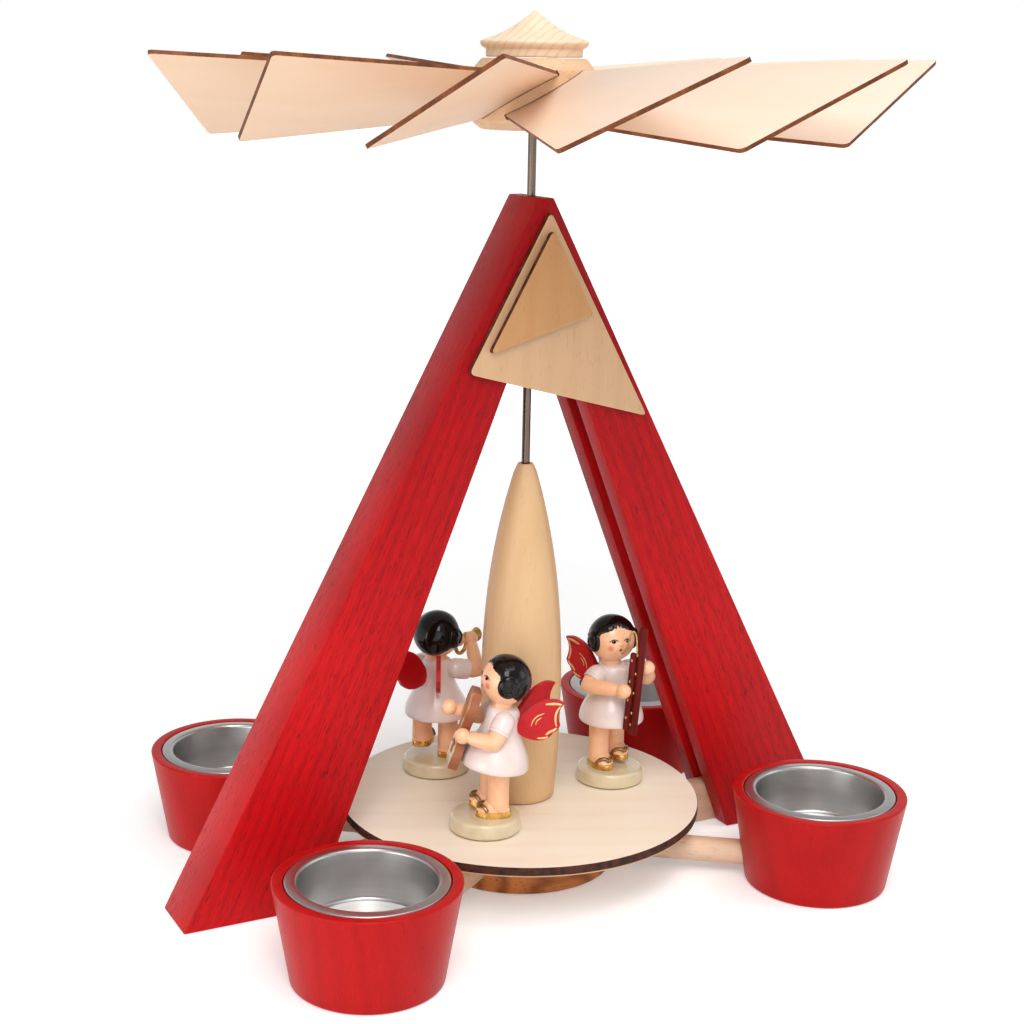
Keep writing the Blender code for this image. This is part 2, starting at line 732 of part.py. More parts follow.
def build_wheel(axis):
    """Make the slotted hub, its pointed cap and the tilted blades."""
    hub_profile = (
        (0.0, WHEEL_TOP),
        (WHEEL_HUB_END_RADIUS, WHEEL_TOP),
        (WHEEL_HUB_RADIUS, WHEEL_TOP - WHEEL_HUB_TOP_CHAMFER),
        (WHEEL_HUB_RADIUS, WHEEL_BOTTOM + WHEEL_HUB_BOTTOM_CHAMFER),
        (WHEEL_HUB_END_RADIUS, WHEEL_BOTTOM),
        (SHAFT_BORE, WHEEL_BOTTOM),
        (SHAFT_BORE, SHAFT_TOP + GAP),
        (0.0, SHAFT_TOP + GAP),
    )
    hub = place(turned("wheel_hub", hub_profile), TURNED_MAPLE, axis)
    slot_reach = SLOT_OVERRUN * (WHEEL_HUB_RADIUS - BLADE_ROOT) / BLADE_TIP_BOTTOM[0]
    for index in range(BLADE_COUNT):
        turn = BLADE_FIRST_AZIMUTH + index * 2 * math.pi / BLADE_COUNT
        seat = {
            "parent": axis,
            "location": (0.0, 0.0, BLADE_HEIGHT),
            "rotation": (BLADE_TILT, 0.0, turn),
        }
        name = f"blade_{index + 1:02d}"
        place(plate(name, blade_outline(), BLADE_THICKNESS), MAPLE, **seat)
        slot = plate(name + "_slot", blade_outline(GAP, slot_reach), BLADE_THICKNESS + 2 * GAP)
        place(slot, **seat)
        combine(hub, "DIFFERENCE", slot)

    neck = WHEEL_TOP + GAP
    brim = neck + CAP_NECK_HEIGHT
    eave = brim + CAP_BRIM_HEIGHT
    roof = []
    for i in range(CAP_ROWS + 1):
        share = i / CAP_ROWS
        hollow = CAP_ROOF_HOLLOW * math.sin(math.pi * share)
        roof.append((CAP_BRIM_RADIUS * share, eave + CAP_ROOF_HEIGHT * (1 - share) - hollow))
    cap_profile = roof + [
        (CAP_BRIM_RADIUS - CAP_BRIM_SLOPE, brim),
        (CAP_NECK_RADIUS, brim),
        (CAP_NECK_RADIUS, neck),
        (0.0, neck),
    ]
    place(turned("wheel_cap", cap_profile), TURNED_MAPLE, axis)


# Angel figures


def dress_profile(grow=0.0):
    """Outer side of the bell-shaped dress, top to bottom, grown for what is fitted round it."""
    shoulder = arc(
        (COLLAR_RADIUS, DRESS_WAIST_HEIGHT),
        DRESS_TOP - DRESS_WAIST_HEIGHT + grow,
        90,
        COLLAR_SLOPE,
        COLLAR_ROWS,
    )
    profile = [(0.0, DRESS_TOP + grow)] + shoulder
    for i in range(DRESS_ROWS + 1):
        share = i / DRESS_ROWS
        swell = (1 - math.cos(math.pi * share)) / 2
        height = DRESS_WAIST_HEIGHT + (HEM_HEIGHT + HEM_ROUND - DRESS_WAIST_HEIGHT) * share
        radius = DRESS_CHEST_RADIUS + (HEM_RADIUS - DRESS_CHEST_RADIUS) * swell
        profile.append((radius + grow, height))
    profile.append((HEM_RADIUS - HEM_ROUND / 2 + grow, HEM_HEIGHT - grow))
    return profile


def build_dress(name, torso):
    """Make the dress, hollowed below for the hips, and the clearance body for what touches it."""
    recess = HEM_HEIGHT + HIP_RECESS_DEPTH
    inside = [(HIP_RADIUS + GAP, HEM_HEIGHT), (HIP_RADIUS + GAP, recess), (0.0, recess)]
    dress = turned(name + "_dress", dress_profile() + inside, SMALL_STEPS)
    place(dress, WHITE_PAINT, torso)
    shade_by_angle(dress.data)
    outside = dress_profile(GAP) + [(0.0, HEM_HEIGHT - GAP)]
    clearance = turned(name + "_dress_clearance", outside, SMALL_STEPS)
    return place(clearance, parent=torso)


def build_legs(figure, root, torso):
    """Make both legs with their shoes, joined by a hip disc inside the dress."""
    hip_bottom = HEM_HEIGHT + HIP_RECESS_DEPTH - GAP - HIP_HEIGHT
    legs = rod(figure.name + "_legs", HIP_RADIUS, HIP_HEIGHT)
    place(legs, SKIN_PAINT, torso, (0.0, 0.0, hip_bottom))
    half = SHOE_WIDTH / 2
    heel = SHOE_TOE - SHOE_LENGTH + half
    toe_end = arc((SHOE_TOE - half, 0.0), half, -90, 90, SHOE_ROWS)
    heel_end = arc((heel, 0.0), half, 90, 270, SHOE_ROWS)
    for label, foot in (("left", figure.left_foot), ("right", figure.right_foot)):
        lift = PLINTH_HEIGHT + GAP + foot[2]
        ankle = (foot[0], foot[1], lift + SHOE_HEIGHT / 2)
        shoe = plate(f"{figure.name}_{label}_shoe", toe_end + heel_end, SHOE_HEIGHT)
        place(shoe, parent=root, location=ankle)
        length = hip_bottom + HIP_HEIGHT / 2 - figure.torso_drop - ankle[2]
        leg = rod(f"{figure.name}_{label}_leg", FIGURE_LEG_RADIUS, length)
        place(leg, parent=root, location=ankle)
        combine(legs, "UNION", leg, shoe)


def build_head(figure, torso):
    """Make the round head on its short neck."""
    neck_angle = math.degrees(math.acos(NECK_RADIUS / HEAD_RADIUS))
    skull = arc((0.0, HEAD_HEIGHT), HEAD_RADIUS, 90, -neck_angle, HEAD_ROWS)
    skull[0] = (0.0, HEAD_HEIGHT + HEAD_RADIUS)
    profile = skull + [(NECK_RADIUS, DRESS_TOP + GAP), (0.0, DRESS_TOP + GAP)]
    skull_place = (figure.head_forward, 0.0, 0.0)
    head = place(turned(figure.name + "_head", profile, SMALL_STEPS), HEAD_PAINT, torso, skull_place)
    shade_by_angle(head.data)


def build_wings(figure, torso, dress_clearance):
    """Make the pair of wings on the thin strip that is glued to the back of the dress."""
    strip_x = -(DRESS_CHEST_RADIUS + GAP + WING_STRIP[0] / 2)
    wings = block(figure.name + "_wings", WING_STRIP)
    place(wings, WING_RED, torso, (strip_x, 0.0, WING_HEIGHT - WING_STRIP_DROP))
    root_x = WING_ROOT_SINK - DRESS_CHEST_RADIUS
    for side, label, (flare, lift) in ((1, "left", figure.left_wing), (-1, "right", figure.right_wing)):
        wing = plate(f"{figure.name}_{label}_wing", WING_CORNERS, WING_THICKNESS)
        place(
            wing, parent=torso, location=(root_x, side * WING_ROOT_SPACING, WING_HEIGHT + lift),
            rotation=(math.pi / 2, 0.0, math.pi - side * flare),
        )
        combine(wings, "UNION", wing)
    combine(wings, "DIFFERENCE", dress_clearance)


def fiddle_outline(grow=0.0):
    """Waisted outline of the fiddle body, centred on its length."""
    length = math.dist(FIDDLE_TOP, FIDDLE_BOTTOM)
    side = []
    for i in range(FIDDLE_ROWS + 1):
        share = i / FIDDLE_ROWS
        pinch = math.sin(math.pi * share) ** FIDDLE_WAIST_POWER
        half_width = FIDDLE_HALF_WIDTH + (FIDDLE_WAIST - FIDDLE_HALF_WIDTH) * pinch
        taper = min(1.0, FIDDLE_END_SHARE + FIDDLE_END_SLOPE * min(share, 1 - share))
        side.append((half_width * taper + grow, (share - 0.5) * (length + 2 * grow)))
    return side + [(-x, y) for x, y in reversed(side)]


def fiddle_bodies(name):
    """The fiddle and its clearance body, with the place of both."""
    top, bottom = Vector(FIDDLE_TOP), Vector(FIDDLE_BOTTOM)
    middle = (top + bottom) / 2
    slope = math.atan2(top.x - bottom.x, top.y - bottom.y)
    facing_forward = Matrix.Rotation(math.pi / 2, 3, "Z") @ Matrix.Rotation(math.pi / 2, 3, "X")
    tilted = Matrix.Rotation(slope, 3, "Y") @ facing_forward
    seat = {"location": (middle.x, 0.0, middle.y), "rotation": tilted.to_euler()}
    body = plate(name + "_fiddle", fiddle_outline(), FIDDLE_THICKNESS)
    clearance = plate(name + "_fiddle_clearance", fiddle_outline(GAP), FIDDLE_THICKNESS + 2 * GAP)
    return body, clearance, seat


def bassoon_bodies(name):
    """The long and short tubes of the bassoon, then the same two grown for their clearance."""
    bodies = []
    for label, grow in (("bassoon", 0.0), ("bassoon_clearance", GAP)):
        body = tube(f"{name}_{label}", BASSOON_LONG, BASSOON_LONG_RADIUS + grow)
        short = tube(f"{name}_{label}_wing_joint", BASSOON_SHORT, BASSOON_SHORT_RADIUS + grow)
        bodies.append((body, short))
    return bodies


def trumpet_profile(grow=0.0):
    """Outer side of the trumpet from bell to mouthpiece."""
    flare_start = TRUMPET_LENGTH - TRUMPET_BELL_LENGTH
    profile = [(0.0, TRUMPET_LENGTH + grow), (TRUMPET_BELL_RADIUS + grow, TRUMPET_LENGTH + grow)]
    for i in range(1, TRUMPET_ROWS + 1):
        share = 1 - i / TRUMPET_ROWS
        radius = TRUMPET_TUBE_RADIUS + (TRUMPET_BELL_RADIUS - TRUMPET_TUBE_RADIUS) * share**2
        profile.append((radius + grow, flare_start + TRUMPET_BELL_LENGTH * share))
    return profile + [(TRUMPET_TUBE_RADIUS + grow, -grow), (0.0, -grow)]


def build_instrument(figure, torso):
    """Make the figure's instrument and return its clearance bodies, which the hands are cut to."""
    name = figure.name
    if figure.instrument == "fiddle":
        body, clearance, seat = fiddle_bodies(name)
        place(body, INSTRUMENT_BROWN, torso, **seat)
        return [place(clearance, parent=torso, **seat)]
    if figure.instrument == "bassoon":
        (body, short), clearances = bassoon_bodies(name)
        place(body, INSTRUMENT_BROWN, torso)
        place(short, parent=torso)
        combine(body, "UNION", short)
        return [place(clearance, parent=torso) for clearance in clearances]
    seat = {
        "location": TRUMPET_START,
        "rotation": (0.0, math.pi / 2 + TRUMPET_DROP, TRUMPET_TURN),
    }
    place(turned(name + "_trumpet", trumpet_profile(), PIN_STEPS), GOLD_PAINT, torso, **seat)
    clearance = turned(name + "_trumpet_clearance", trumpet_profile(GAP), PIN_STEPS)
    return [place(clearance, parent=torso, **seat)]


def build_arms(figure, torso, clearances):
    """Make both arms, coped to the dress and to the instrument that they hold."""
    scales = (SHOULDER_SCALE, 1.0, WRIST_SCALE, 1.0)
    limbs = (
        ("left", 1, figure.left_elbow, figure.left_hand),
        ("right", -1, figure.right_elbow, figure.right_hand),
    )
    for label, side, elbow, hand in limbs:
        shoulder = (0.0, side * SHOULDER_OFFSET, SHOULDER_HEIGHT)
        wrist = Vector(elbow).lerp(Vector(hand), WRIST_SHARE)
        arm = tube(f"{figure.name}_{label}_arm", (shoulder, elbow, wrist, hand), LIMB_RADIUS, scales)
        place(arm, SKIN_PAINT, torso)
        combine(arm, "DIFFERENCE", *clearances)


def build_figure(figure, axis):
    """Make one angel on its plinth."""
    spot = (
        figure.ring_radius * math.cos(figure.azimuth),
        figure.ring_radius * math.sin(figure.azimuth),
        TURNTABLE_TOP + GAP,
    )
    root = frame_empty(figure.name, axis, spot, (0.0, 0.0, figure.facing))
    pivot = frame_empty(
        figure.name + "_torso", root, (-figure.stand_back, 0.0, HEM_HEIGHT - figure.torso_drop),
        (0.0, -figure.lean, 0.0),
    )
    torso = frame_empty(figure.name + "_body", pivot, (0.0, 0.0, -HEM_HEIGHT))
    plinth_profile = (
        (0.0, PLINTH_HEIGHT),
        (PLINTH_TOP_RADIUS - PLINTH_EDGE, PLINTH_HEIGHT),
        (PLINTH_TOP_RADIUS, PLINTH_HEIGHT - PLINTH_EDGE),
        (PLINTH_RADIUS, 0.0),
        (0.0, 0.0),
    )
    place(turned(figure.name + "_plinth", plinth_profile, SMALL_STEPS), PLINTH_PAINT, root)
    dress_clearance = build_dress(figure.name, torso)
    build_legs(figure, root, torso)
    build_head(figure, torso)
    build_wings(figure, torso, dress_clearance)
    clearances = build_instrument(figure, torso)
    build_arms(figure, torso, [dress_clearance, *clearances])


def main():
    """Build every piece."""
    build_leg("left_leg", -1)
    build_leg("right_leg", 1)
    build_crossbar()
    build_gable()
    build_base_hub()
    build_bearing()
    for corner, azimuth in CORNERS.items():
        build_candle_corner(corner, azimuth)
    carousel_axis = frame_empty("carousel_axis")
    build_spindle(carousel_axis)
    wheel_axis = frame_empty("wheel_axis", carousel_axis)
    build_wheel(wheel_axis)
    for figure in FIGURES:
        build_figure(figure, carousel_axis)


main()
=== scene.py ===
"""Looks of a tea-light christmas pyramid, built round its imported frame.

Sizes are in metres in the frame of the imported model: +Z is up and the front faces -Y.
"""

import logging
from dataclasses import dataclass, replace
from enum import Enum, IntEnum
from math import acos, atan2, cos, degrees, exp, hypot, pi, radians, sin, sqrt
from typing import Iterable, Optional, Sequence, Union

import bmesh
import bpy
from mathutils import Matrix, Vector


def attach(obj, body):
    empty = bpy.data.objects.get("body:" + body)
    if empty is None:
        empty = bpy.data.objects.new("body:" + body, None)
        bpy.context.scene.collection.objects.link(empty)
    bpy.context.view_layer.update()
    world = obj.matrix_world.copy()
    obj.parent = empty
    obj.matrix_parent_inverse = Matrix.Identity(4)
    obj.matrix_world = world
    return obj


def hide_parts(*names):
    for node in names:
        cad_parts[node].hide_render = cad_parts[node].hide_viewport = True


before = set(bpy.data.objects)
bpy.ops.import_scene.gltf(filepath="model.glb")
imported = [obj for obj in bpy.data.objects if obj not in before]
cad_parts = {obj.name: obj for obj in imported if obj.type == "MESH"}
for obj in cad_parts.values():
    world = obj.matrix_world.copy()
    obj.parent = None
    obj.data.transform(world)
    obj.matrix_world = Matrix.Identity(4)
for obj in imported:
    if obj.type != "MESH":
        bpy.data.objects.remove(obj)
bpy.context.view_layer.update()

Colour = tuple[float, float, float]
Point = tuple[float, float]
Spot = tuple[float, float, float]
Ring = list[bmesh.types.BMVert]
log = logging.getLogger("pyramid")

# Mean of a noise
NOISE_MEAN = 0.5
# Most of a side that a rounded corner may take
CORNER_LIMIT = 0.45
# Upright share of a direction from which a line counts as upright
NEARLY_UPRIGHT = 0.99
# Angle in degrees from which an edge stays sharp
SHARP_ANGLE = 40.0


class Body(Enum):
    """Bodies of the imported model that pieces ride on."""

    FRAME = "frame"
    CAROUSEL = "carousel"
    WHEEL = "blade_wheel"


class Side(Enum):
    """Left and right of a figure, as the sign of a sideways step."""

    LEFT = 1
    RIGHT = -1


class Sides(IntEnum):
    """How many facets a round shape has."""

    THREAD = 8
    STRAP = 10
    PIPE = 14
    LIMB = 28
    ROD = 32
    ARM = 36
    HORN = 40
    HEAD = 64
    SLEEVE = 72
    HUB = 96
    TABLE = 160


class Grain(Enum):
    """Axis of a piece that its wood fibres follow."""

    X = 0
    Y = 1
    Z = 2


class Instrument(Enum):
    """What an angel plays."""

    FIDDLE = "fiddle"
    BASSOON = "bassoon"
    TRUMPET = "trumpet"


class Corner(Enum):
    """Corners where the candle cups stand, as signs of X and Y."""

    FRONT_LEFT = (-1, -1)
    FRONT_RIGHT = (1, -1)
    BACK_RIGHT = (1, 1)
    BACK_LEFT = (-1, 1)

    @property
    def label(self) -> str:
        """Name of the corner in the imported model."""
        return self.name.lower()


# Shader graphs


class Term:
    """A node's output that takes part in expressions."""

    def __init__(self, graph: "Graph", socket: bpy.types.NodeSocket) -> None:
        """Keep the socket and the graph that it belongs to."""
        self.graph = graph
        self.socket = socket

    def _maths(self, operation: str, first: "Value", second: "Value") -> "Term":
        """Add a Math node to the graph."""
        return self.graph.node("ShaderNodeMath", {"operation": operation}, {0: first, 1: second})

    def __add__(self, other: "Value") -> "Term":
        """Sum."""
        return self._maths("ADD", self, other)

    def __radd__(self, other: "Value") -> "Term":
        """Sum with a number in front."""
        return self._maths("ADD", other, self)

    def __sub__(self, other: "Value") -> "Term":
        """Difference."""
        return self._maths("SUBTRACT", self, other)

    def __rsub__(self, other: "Value") -> "Term":
        """Difference with a number in front."""
        return self._maths("SUBTRACT", other, self)

    def __mul__(self, other: "Value") -> "Term":
        """Product."""
        return self._maths("MULTIPLY", self, other)

    def __rmul__(self, other: "Value") -> "Term":
        """Product with a number in front."""
        return self._maths("MULTIPLY", other, self)

    def __pow__(self, other: "Value") -> "Term":
        """Power."""
        return self._maths("POWER", self, other)

    def __rpow__(self, other: "Value") -> "Term":
        """Power of a number."""
        return self._maths("POWER", other, self)

    def sine(self) -> "Term":
        """Sine of an angle in radians."""
        return self.graph.node("ShaderNodeMath", {"operation": "SINE"}, {0: self})

    def larger(self, other: "Value") -> "Term":
        """The larger of two values."""
        return self._maths("MAXIMUM", self, other)

    def sibling(self, name: str) -> "Term":
        """Another output of the same node."""
        return Term(self.graph, self.socket.node.outputs[name])


Value = Union[Term, float]
Sockets = dict[str, Union[Value, Colour]]


class Graph:
    """The node tree of one finish."""

    def __init__(self, tree: bpy.types.NodeTree) -> None:
        """Work on a node tree."""
        self.tree = tree

    def node(
        self, kind: str, settings: Optional[dict] = None, sockets: Optional[dict] = None,
        output: Union[int, str] = 0,
    ) -> Term:
        """Add a node.

        Args:
            kind: name of the node's type.
            settings: properties, set before the sockets.
            sockets: values or terms by the input's name or number.
            output: name or number of the output that is wanted.

        Returns:
            The wanted output.
        """
        made = self.tree.nodes.new(kind)
        for name, value in (settings or {}).items():
            setattr(made, name, value)
        for name, value in (sockets or {}).items():
            self.feed(made.inputs[name], value)
        return Term(self, made.outputs[output])

    def feed(self, socket: bpy.types.NodeSocket, value: Union[Value, Sequence[float]]) -> None:
        """Set a socket to a value, or link a term to it.

        Args:
            socket: the input.
            value: a number, a vector, a colour of three numbers or a term.
        """
        if isinstance(value, Term):
            self.tree.links.new(value.socket, socket)
        elif socket.type == "RGBA":
            socket.default_value = (*value[:3], 1.0)
        else:
            socket.default_value = value

    def place(self) -> Term:
        """Place on the piece, in its own axes."""
        return self.node("ShaderNodeTexCoord", output="Object")

    def vector(self, operation: str, place: Term, other: Sequence[float], output: Union[int, str]) -> Term:
        """Combine a place with a fixed vector."""
        sockets = {0: place, 1: tuple(other)}
        return self.node("ShaderNodeVectorMath", {"operation": operation}, sockets, output)

    def stretched(self, place: Term, scale: Sequence[float]) -> Term:
        """Scale a place along its three axes."""
        return self.vector("MULTIPLY", place, scale, "Vector")

    def turned(self, vector: Term, angles: Sequence[float]) -> Term:
        """Turn a vector by three angles about the axes."""
        return self.node(
            "ShaderNodeVectorRotate",
            {"rotation_type": "EULER_XYZ"},
            {"Vector": vector, "Rotation": tuple(angles)},
        )

    def axis(self, vector: Term, name: str) -> Term:
        """One coordinate of a vector."""
        return self.node("ShaderNodeSeparateXYZ", None, {0: vector}, name)

    def noise(self, place: Term, scale: Sequence[float], detail: float = 2.0) -> Term:
        """Noise whose cells are one unit wide once the place is scaled."""
        return self.node(
            "ShaderNodeTexNoise",
            {"noise_dimensions": "3D"},
            {"Vector": self.stretched(place, scale), "Scale": 1.0, "Detail": detail},
        )

    def between(self, value: Value, low: float, high: float) -> Term:
        """Smooth step from 0 at one value to 1 at another."""
        return self.node(
            "ShaderNodeMapRange",
            {"interpolation_type": "SMOOTHSTEP"},
            {"Value": value, "From Min": low, "From Max": high},
        )

    def mix(self, first: Union[Term, Colour], second: Union[Term, Colour], share: Value) -> Term:
        """Mix two colours."""
        return self.node(
            "ShaderNodeMix", {"data_type": "RGBA", "clamp_factor": True}, {0: share, 6: first, 7: second}, 2
        )

    def along(self, place: Term, direction: Sequence[float]) -> Term:
        """How far a place lies along a direction."""
        return self.vector("DOT_PRODUCT", place, direction, "Value")

    def distance(self, place: Term, point: Sequence[float]) -> Term:
        """Distance of a place from a point."""
        return self.vector("DISTANCE", place, point, "Value")

    def relief(self, height: Term, depth: float, strength: float) -> Term:
        """Normal of a surface with a relief of some depth."""
        return self.node(
            "ShaderNodeBump", None, {"Height": height, "Distance": depth, "Strength": strength}, "Normal"
        )


class Finish:
    """A surface finish, made into a material once."""

    name: str

    def material(self) -> bpy.types.Material:
        """Make the finish's material at its first use.

        Returns:
            The material.
        """
        label = self.name + "_finish"
        found = bpy.data.materials.get(label)
        if found:
            return found
        made = bpy.data.materials.new(label)
        made.use_nodes = True
        graph, shader = Graph(made.node_tree), made.node_tree.nodes["Principled BSDF"]
        for name, value in self.paint(graph).items():
            graph.feed(shader.inputs[name], value)
        return made

    def paint(self, graph: Graph) -> Sockets:
        """Find what the shader's sockets take, by their names."""
        raise NotImplementedError


@dataclass(frozen=True)
class Wood(Finish):
    """Wood with growth rings, fibres and pores that follow one axis of the piece, and optional painted shade
    that deepens its colour along that axis.
    """

    name: str
    pale: Colour
    deep: Colour
    pore: Colour
    grain: Grain = Grain.X
    across: Spot = (0.0, 1.0, 0.0)
    ring_spacing: float = 0.004
    ring_share: float = 0.35
    ring_wander: float = 5.0
    ring_power: float = 2.0
    tone_share: float = 0.5
    tone_length: float = 0.06
    tone_width: float = 0.012
    fibre_share: float = 0.35
    fibre_length: float = 0.012
    fibre_width: float = 0.00035
    pore_length: float = 0.007
    pore_width: float = 0.0006
    pore_from: float = 0.62
    pore_to: float = 0.75
    pore_share: float = 0.6
    roughness: float = 0.5
    gloss: float = 0.35
    coat: float = 0.0
    coat_roughness: float = 0.3
    fibre_rough: float = 0.16
    pore_rough: float = 0.12
    depth: float = 0.00006
    fibre_depth: float = 0.35
    relief_strength: float = 0.6
    painted_shade_share: float = 0.0
    painted_shade_from: float = 0.05
    painted_shade_to: float = 0.22
    detail: float = 3.0
    pore_detail: float = 1.0
    turn: tuple[float, ...] = ()

    def stretch(self, length: float, width: float) -> tuple[float, float, float]:
        """Find the scale that makes noise cells of a size.

        Args:
            length: of a cell along the grain.
            width: of a cell across the grain.

        Returns:
            The scale along the three axes.
        """
        scale = [1 / width] * 3
        scale[self.grain.value] = 1 / length
        return tuple(scale)

    def paint(self, graph: Graph) -> Sockets:
        """Wire rings, fibres and pores into colour, roughness and relief, with any painted shade along the
        grain.

        Args:
            graph: the finish's nodes.

        Returns:
            What the shader's sockets take.
        """
        place = graph.place()
        if self.turn:
            place = graph.turned(place, self.turn)
        tone = graph.noise(place, self.stretch(self.tone_length, self.tone_width), self.detail)
        fibre = graph.noise(place, self.stretch(self.fibre_length, self.fibre_width), self.detail)
        dashes = graph.noise(place, self.stretch(self.pore_length, self.pore_width), self.pore_detail)
        pores = graph.between(dashes, self.pore_from, self.pore_to)
        turns = graph.along(place, self.across) * (2 * pi / self.ring_spacing) + tone * self.ring_wander
        ring = (turns.sine() * 0.5 + 0.5) ** self.ring_power
        share = (
            ring * self.ring_share
            + (tone - NOISE_MEAN) * self.tone_share
            + (fibre - NOISE_MEAN) * self.fibre_share
            + (0.5 - self.ring_share / 2)
        )
        # Painted shade: the colour deepens further along the grain, standing in for the shade on the upper
        # part of a leg.
        if self.painted_shade_share:
            end = graph.axis(place, self.grain.name)
            share = share + graph.between(end, self.painted_shade_from, self.painted_shade_to) * self.painted_shade_share
        colour = graph.mix(graph.mix(self.pale, self.deep, share), self.pore, pores * self.pore_share)
        return {
            "Base Color": colour,
            "Roughness": (fibre - NOISE_MEAN) * self.fibre_rough + pores * self.pore_rough + self.roughness,
            "Normal": graph.relief(fibre * self.fibre_depth - pores, self.depth, self.relief_strength),
            "Specular IOR Level": self.gloss,
            "Coat Weight": self.coat,
            "Coat Roughness": self.coat_roughness,
        }


@dataclass(frozen=True)
class BurntEdge(Finish):
    """Edge of a board that the cutting beam has charred unevenly."""

    name: str
    dark: Colour
    brown: Colour
    cell: float = 0.0025
    mark: float = 0.12
    mark_share: float = 0.3
    char_from: float = 0.35
    char_to: float = 0.68
    roughness: float = 0.62
    mark_rough: float = 0.2
    detail: float = 3.0
    depth: float = 0.00004
    relief_strength: float = 0.5
    gloss: float = 0.25

    def paint(self, graph: Graph) -> Sockets:
        """Wire blotches of char and fine cut marks.

        Args:
            graph: the finish's nodes.

        Returns:
            What the shader's sockets take.
        """
        place = graph.place()
        blotch = graph.noise(place, [1 / self.cell] * 3, self.detail)
        marks = graph.noise(place, [1 / (self.cell * self.mark)] * 3)
        mottle = blotch * (1 - self.mark_share) + marks * self.mark_share
        share = graph.between(mottle, self.char_from, self.char_to)
        return {
            "Base Color": graph.mix(self.dark, self.brown, share),
            "Roughness": (marks - NOISE_MEAN) * self.mark_rough + self.roughness,
            "Normal": graph.relief(marks, self.depth, self.relief_strength),
            "Specular IOR Level": self.gloss,
        }


@dataclass(frozen=True)
class SpunSteel(Finish):
    """Steel with fine rings from spinning, and streaks where it was drawn."""

    name: str
    pale: Colour
    dark: Colour
    roughness: float
    ring_width: float
    ring_share: float = 0.5
    streak_share: float = 0.25
    streak: Spot = (2200.0, 2200.0, 60.0)
    cloud: Spot = (120.0, 120.0, 120.0)
    cloud_share: float = 0.4
    first_share: float = -0.1
    ring_rough: float = 0.14
    cloud_rough: float = 0.1
    relief: float = 0.00001
    streak_depth: float = 0.5
    relief_strength: float = 0.5
    metal: float = 1.0

    def paint(self, graph: Graph) -> Sockets:
        """Wire rings round the piece's axis into colour, roughness and relief.

        Args:
            graph: the finish's nodes.

        Returns:
            What the shader's sockets take.
        """
        place = graph.place()
        flat = graph.stretched(place, (1.0, 1.0, 0.0))
        radius = graph.distance(flat, (0.0, 0.0, 0.0))
        rise = graph.axis(place, "Z")
        along = graph.node("ShaderNodeCombineXYZ", None, {0: radius, 1: rise})
        rings = graph.noise(along, [1 / self.ring_width] * 3)
        streaks = graph.noise(place, self.streak)
        cloud = graph.noise(place, self.cloud)
        share = rings * self.ring_share + streaks * self.streak_share
        share = share + cloud * self.cloud_share + self.first_share
        polish = (rings - NOISE_MEAN) * self.ring_rough + (cloud - NOISE_MEAN) * self.cloud_rough
        return {
            "Base Color": graph.mix(self.dark, self.pale, share),
            "Metallic": self.metal,
            "Roughness": polish + self.roughness,
            "Normal": graph.relief(rings + streaks * self.streak_depth, self.relief, self.relief_strength),
        }


@dataclass(frozen=True)
class Lacquer(Finish):
    """Paint under a gloss coat, with the slight unevenness of a hand-dipped piece."""

    name: str
    colour: Colour
    shade: Colour
    roughness: float = 0.35
    coat: float = 0.6
    coat_roughness: float = 0.12
    cell: float = 0.004
    metal: float = 0.0
    gloss: float = 0.5
    shade_from: float = 0.35
    shade_to: float = 0.75
    ripple: float = 900.0
    ripple_rough: float = 0.12
    ripple_detail: float = 1.0
    ripple_depth: float = 0.00002
    relief_strength: float = 0.35

    def tint(self, graph: Graph, place: Term) -> Term:
        """Colour over the surface."""
        cloud = graph.noise(place, [1 / self.cell] * 3)
        return graph.mix(self.colour, self.shade, graph.between(cloud, self.shade_from, self.shade_to))

    def paint(self, graph: Graph) -> Sockets:
        """Wire the tint and a faint ripple of the coat.

        Args:
            graph: the finish's nodes.

        Returns:
            What the shader's sockets take.
        """
        place = graph.place()
        ripple = graph.noise(place, [self.ripple] * 3, self.ripple_detail)
        return {
            "Base Color": self.tint(graph, place),
            "Metallic": self.metal,
            "Roughness": (ripple - NOISE_MEAN) * self.ripple_rough + self.roughness,
            "Normal": graph.relief(ripple, self.ripple_depth, self.relief_strength),
            "Specular IOR Level": self.gloss,
            "Coat Weight": self.coat,
            "Coat Roughness": self.coat_roughness,
        }


@dataclass(frozen=True)
class FaceLacquer(Lacquer):
    """Skin paint with a soft dab of red on each cheek."""

    blush: Colour = (0.75, 0.16, 0.04)
    blush_share: float = 0.75
    blush_radius: float = 0.0015
    blush_core: float = 0.25
    cheeks: tuple[Spot, ...] = ()

    def tint(self, graph: Graph, place: Term) -> Term:
        """Wire the skin colour with the cheeks' dabs.

        Args:
            graph: the finish's nodes.
            place: on the head.

        Returns:
            The colour.
        """
        colour = super().tint(graph, place)
        core = self.blush_radius * self.blush_core
        for cheek in self.cheeks:
            dab = graph.between(graph.distance(place, cheek), self.blush_radius, core)
            colour = graph.mix(colour, self.blush, dab * self.blush_share)
        return colour
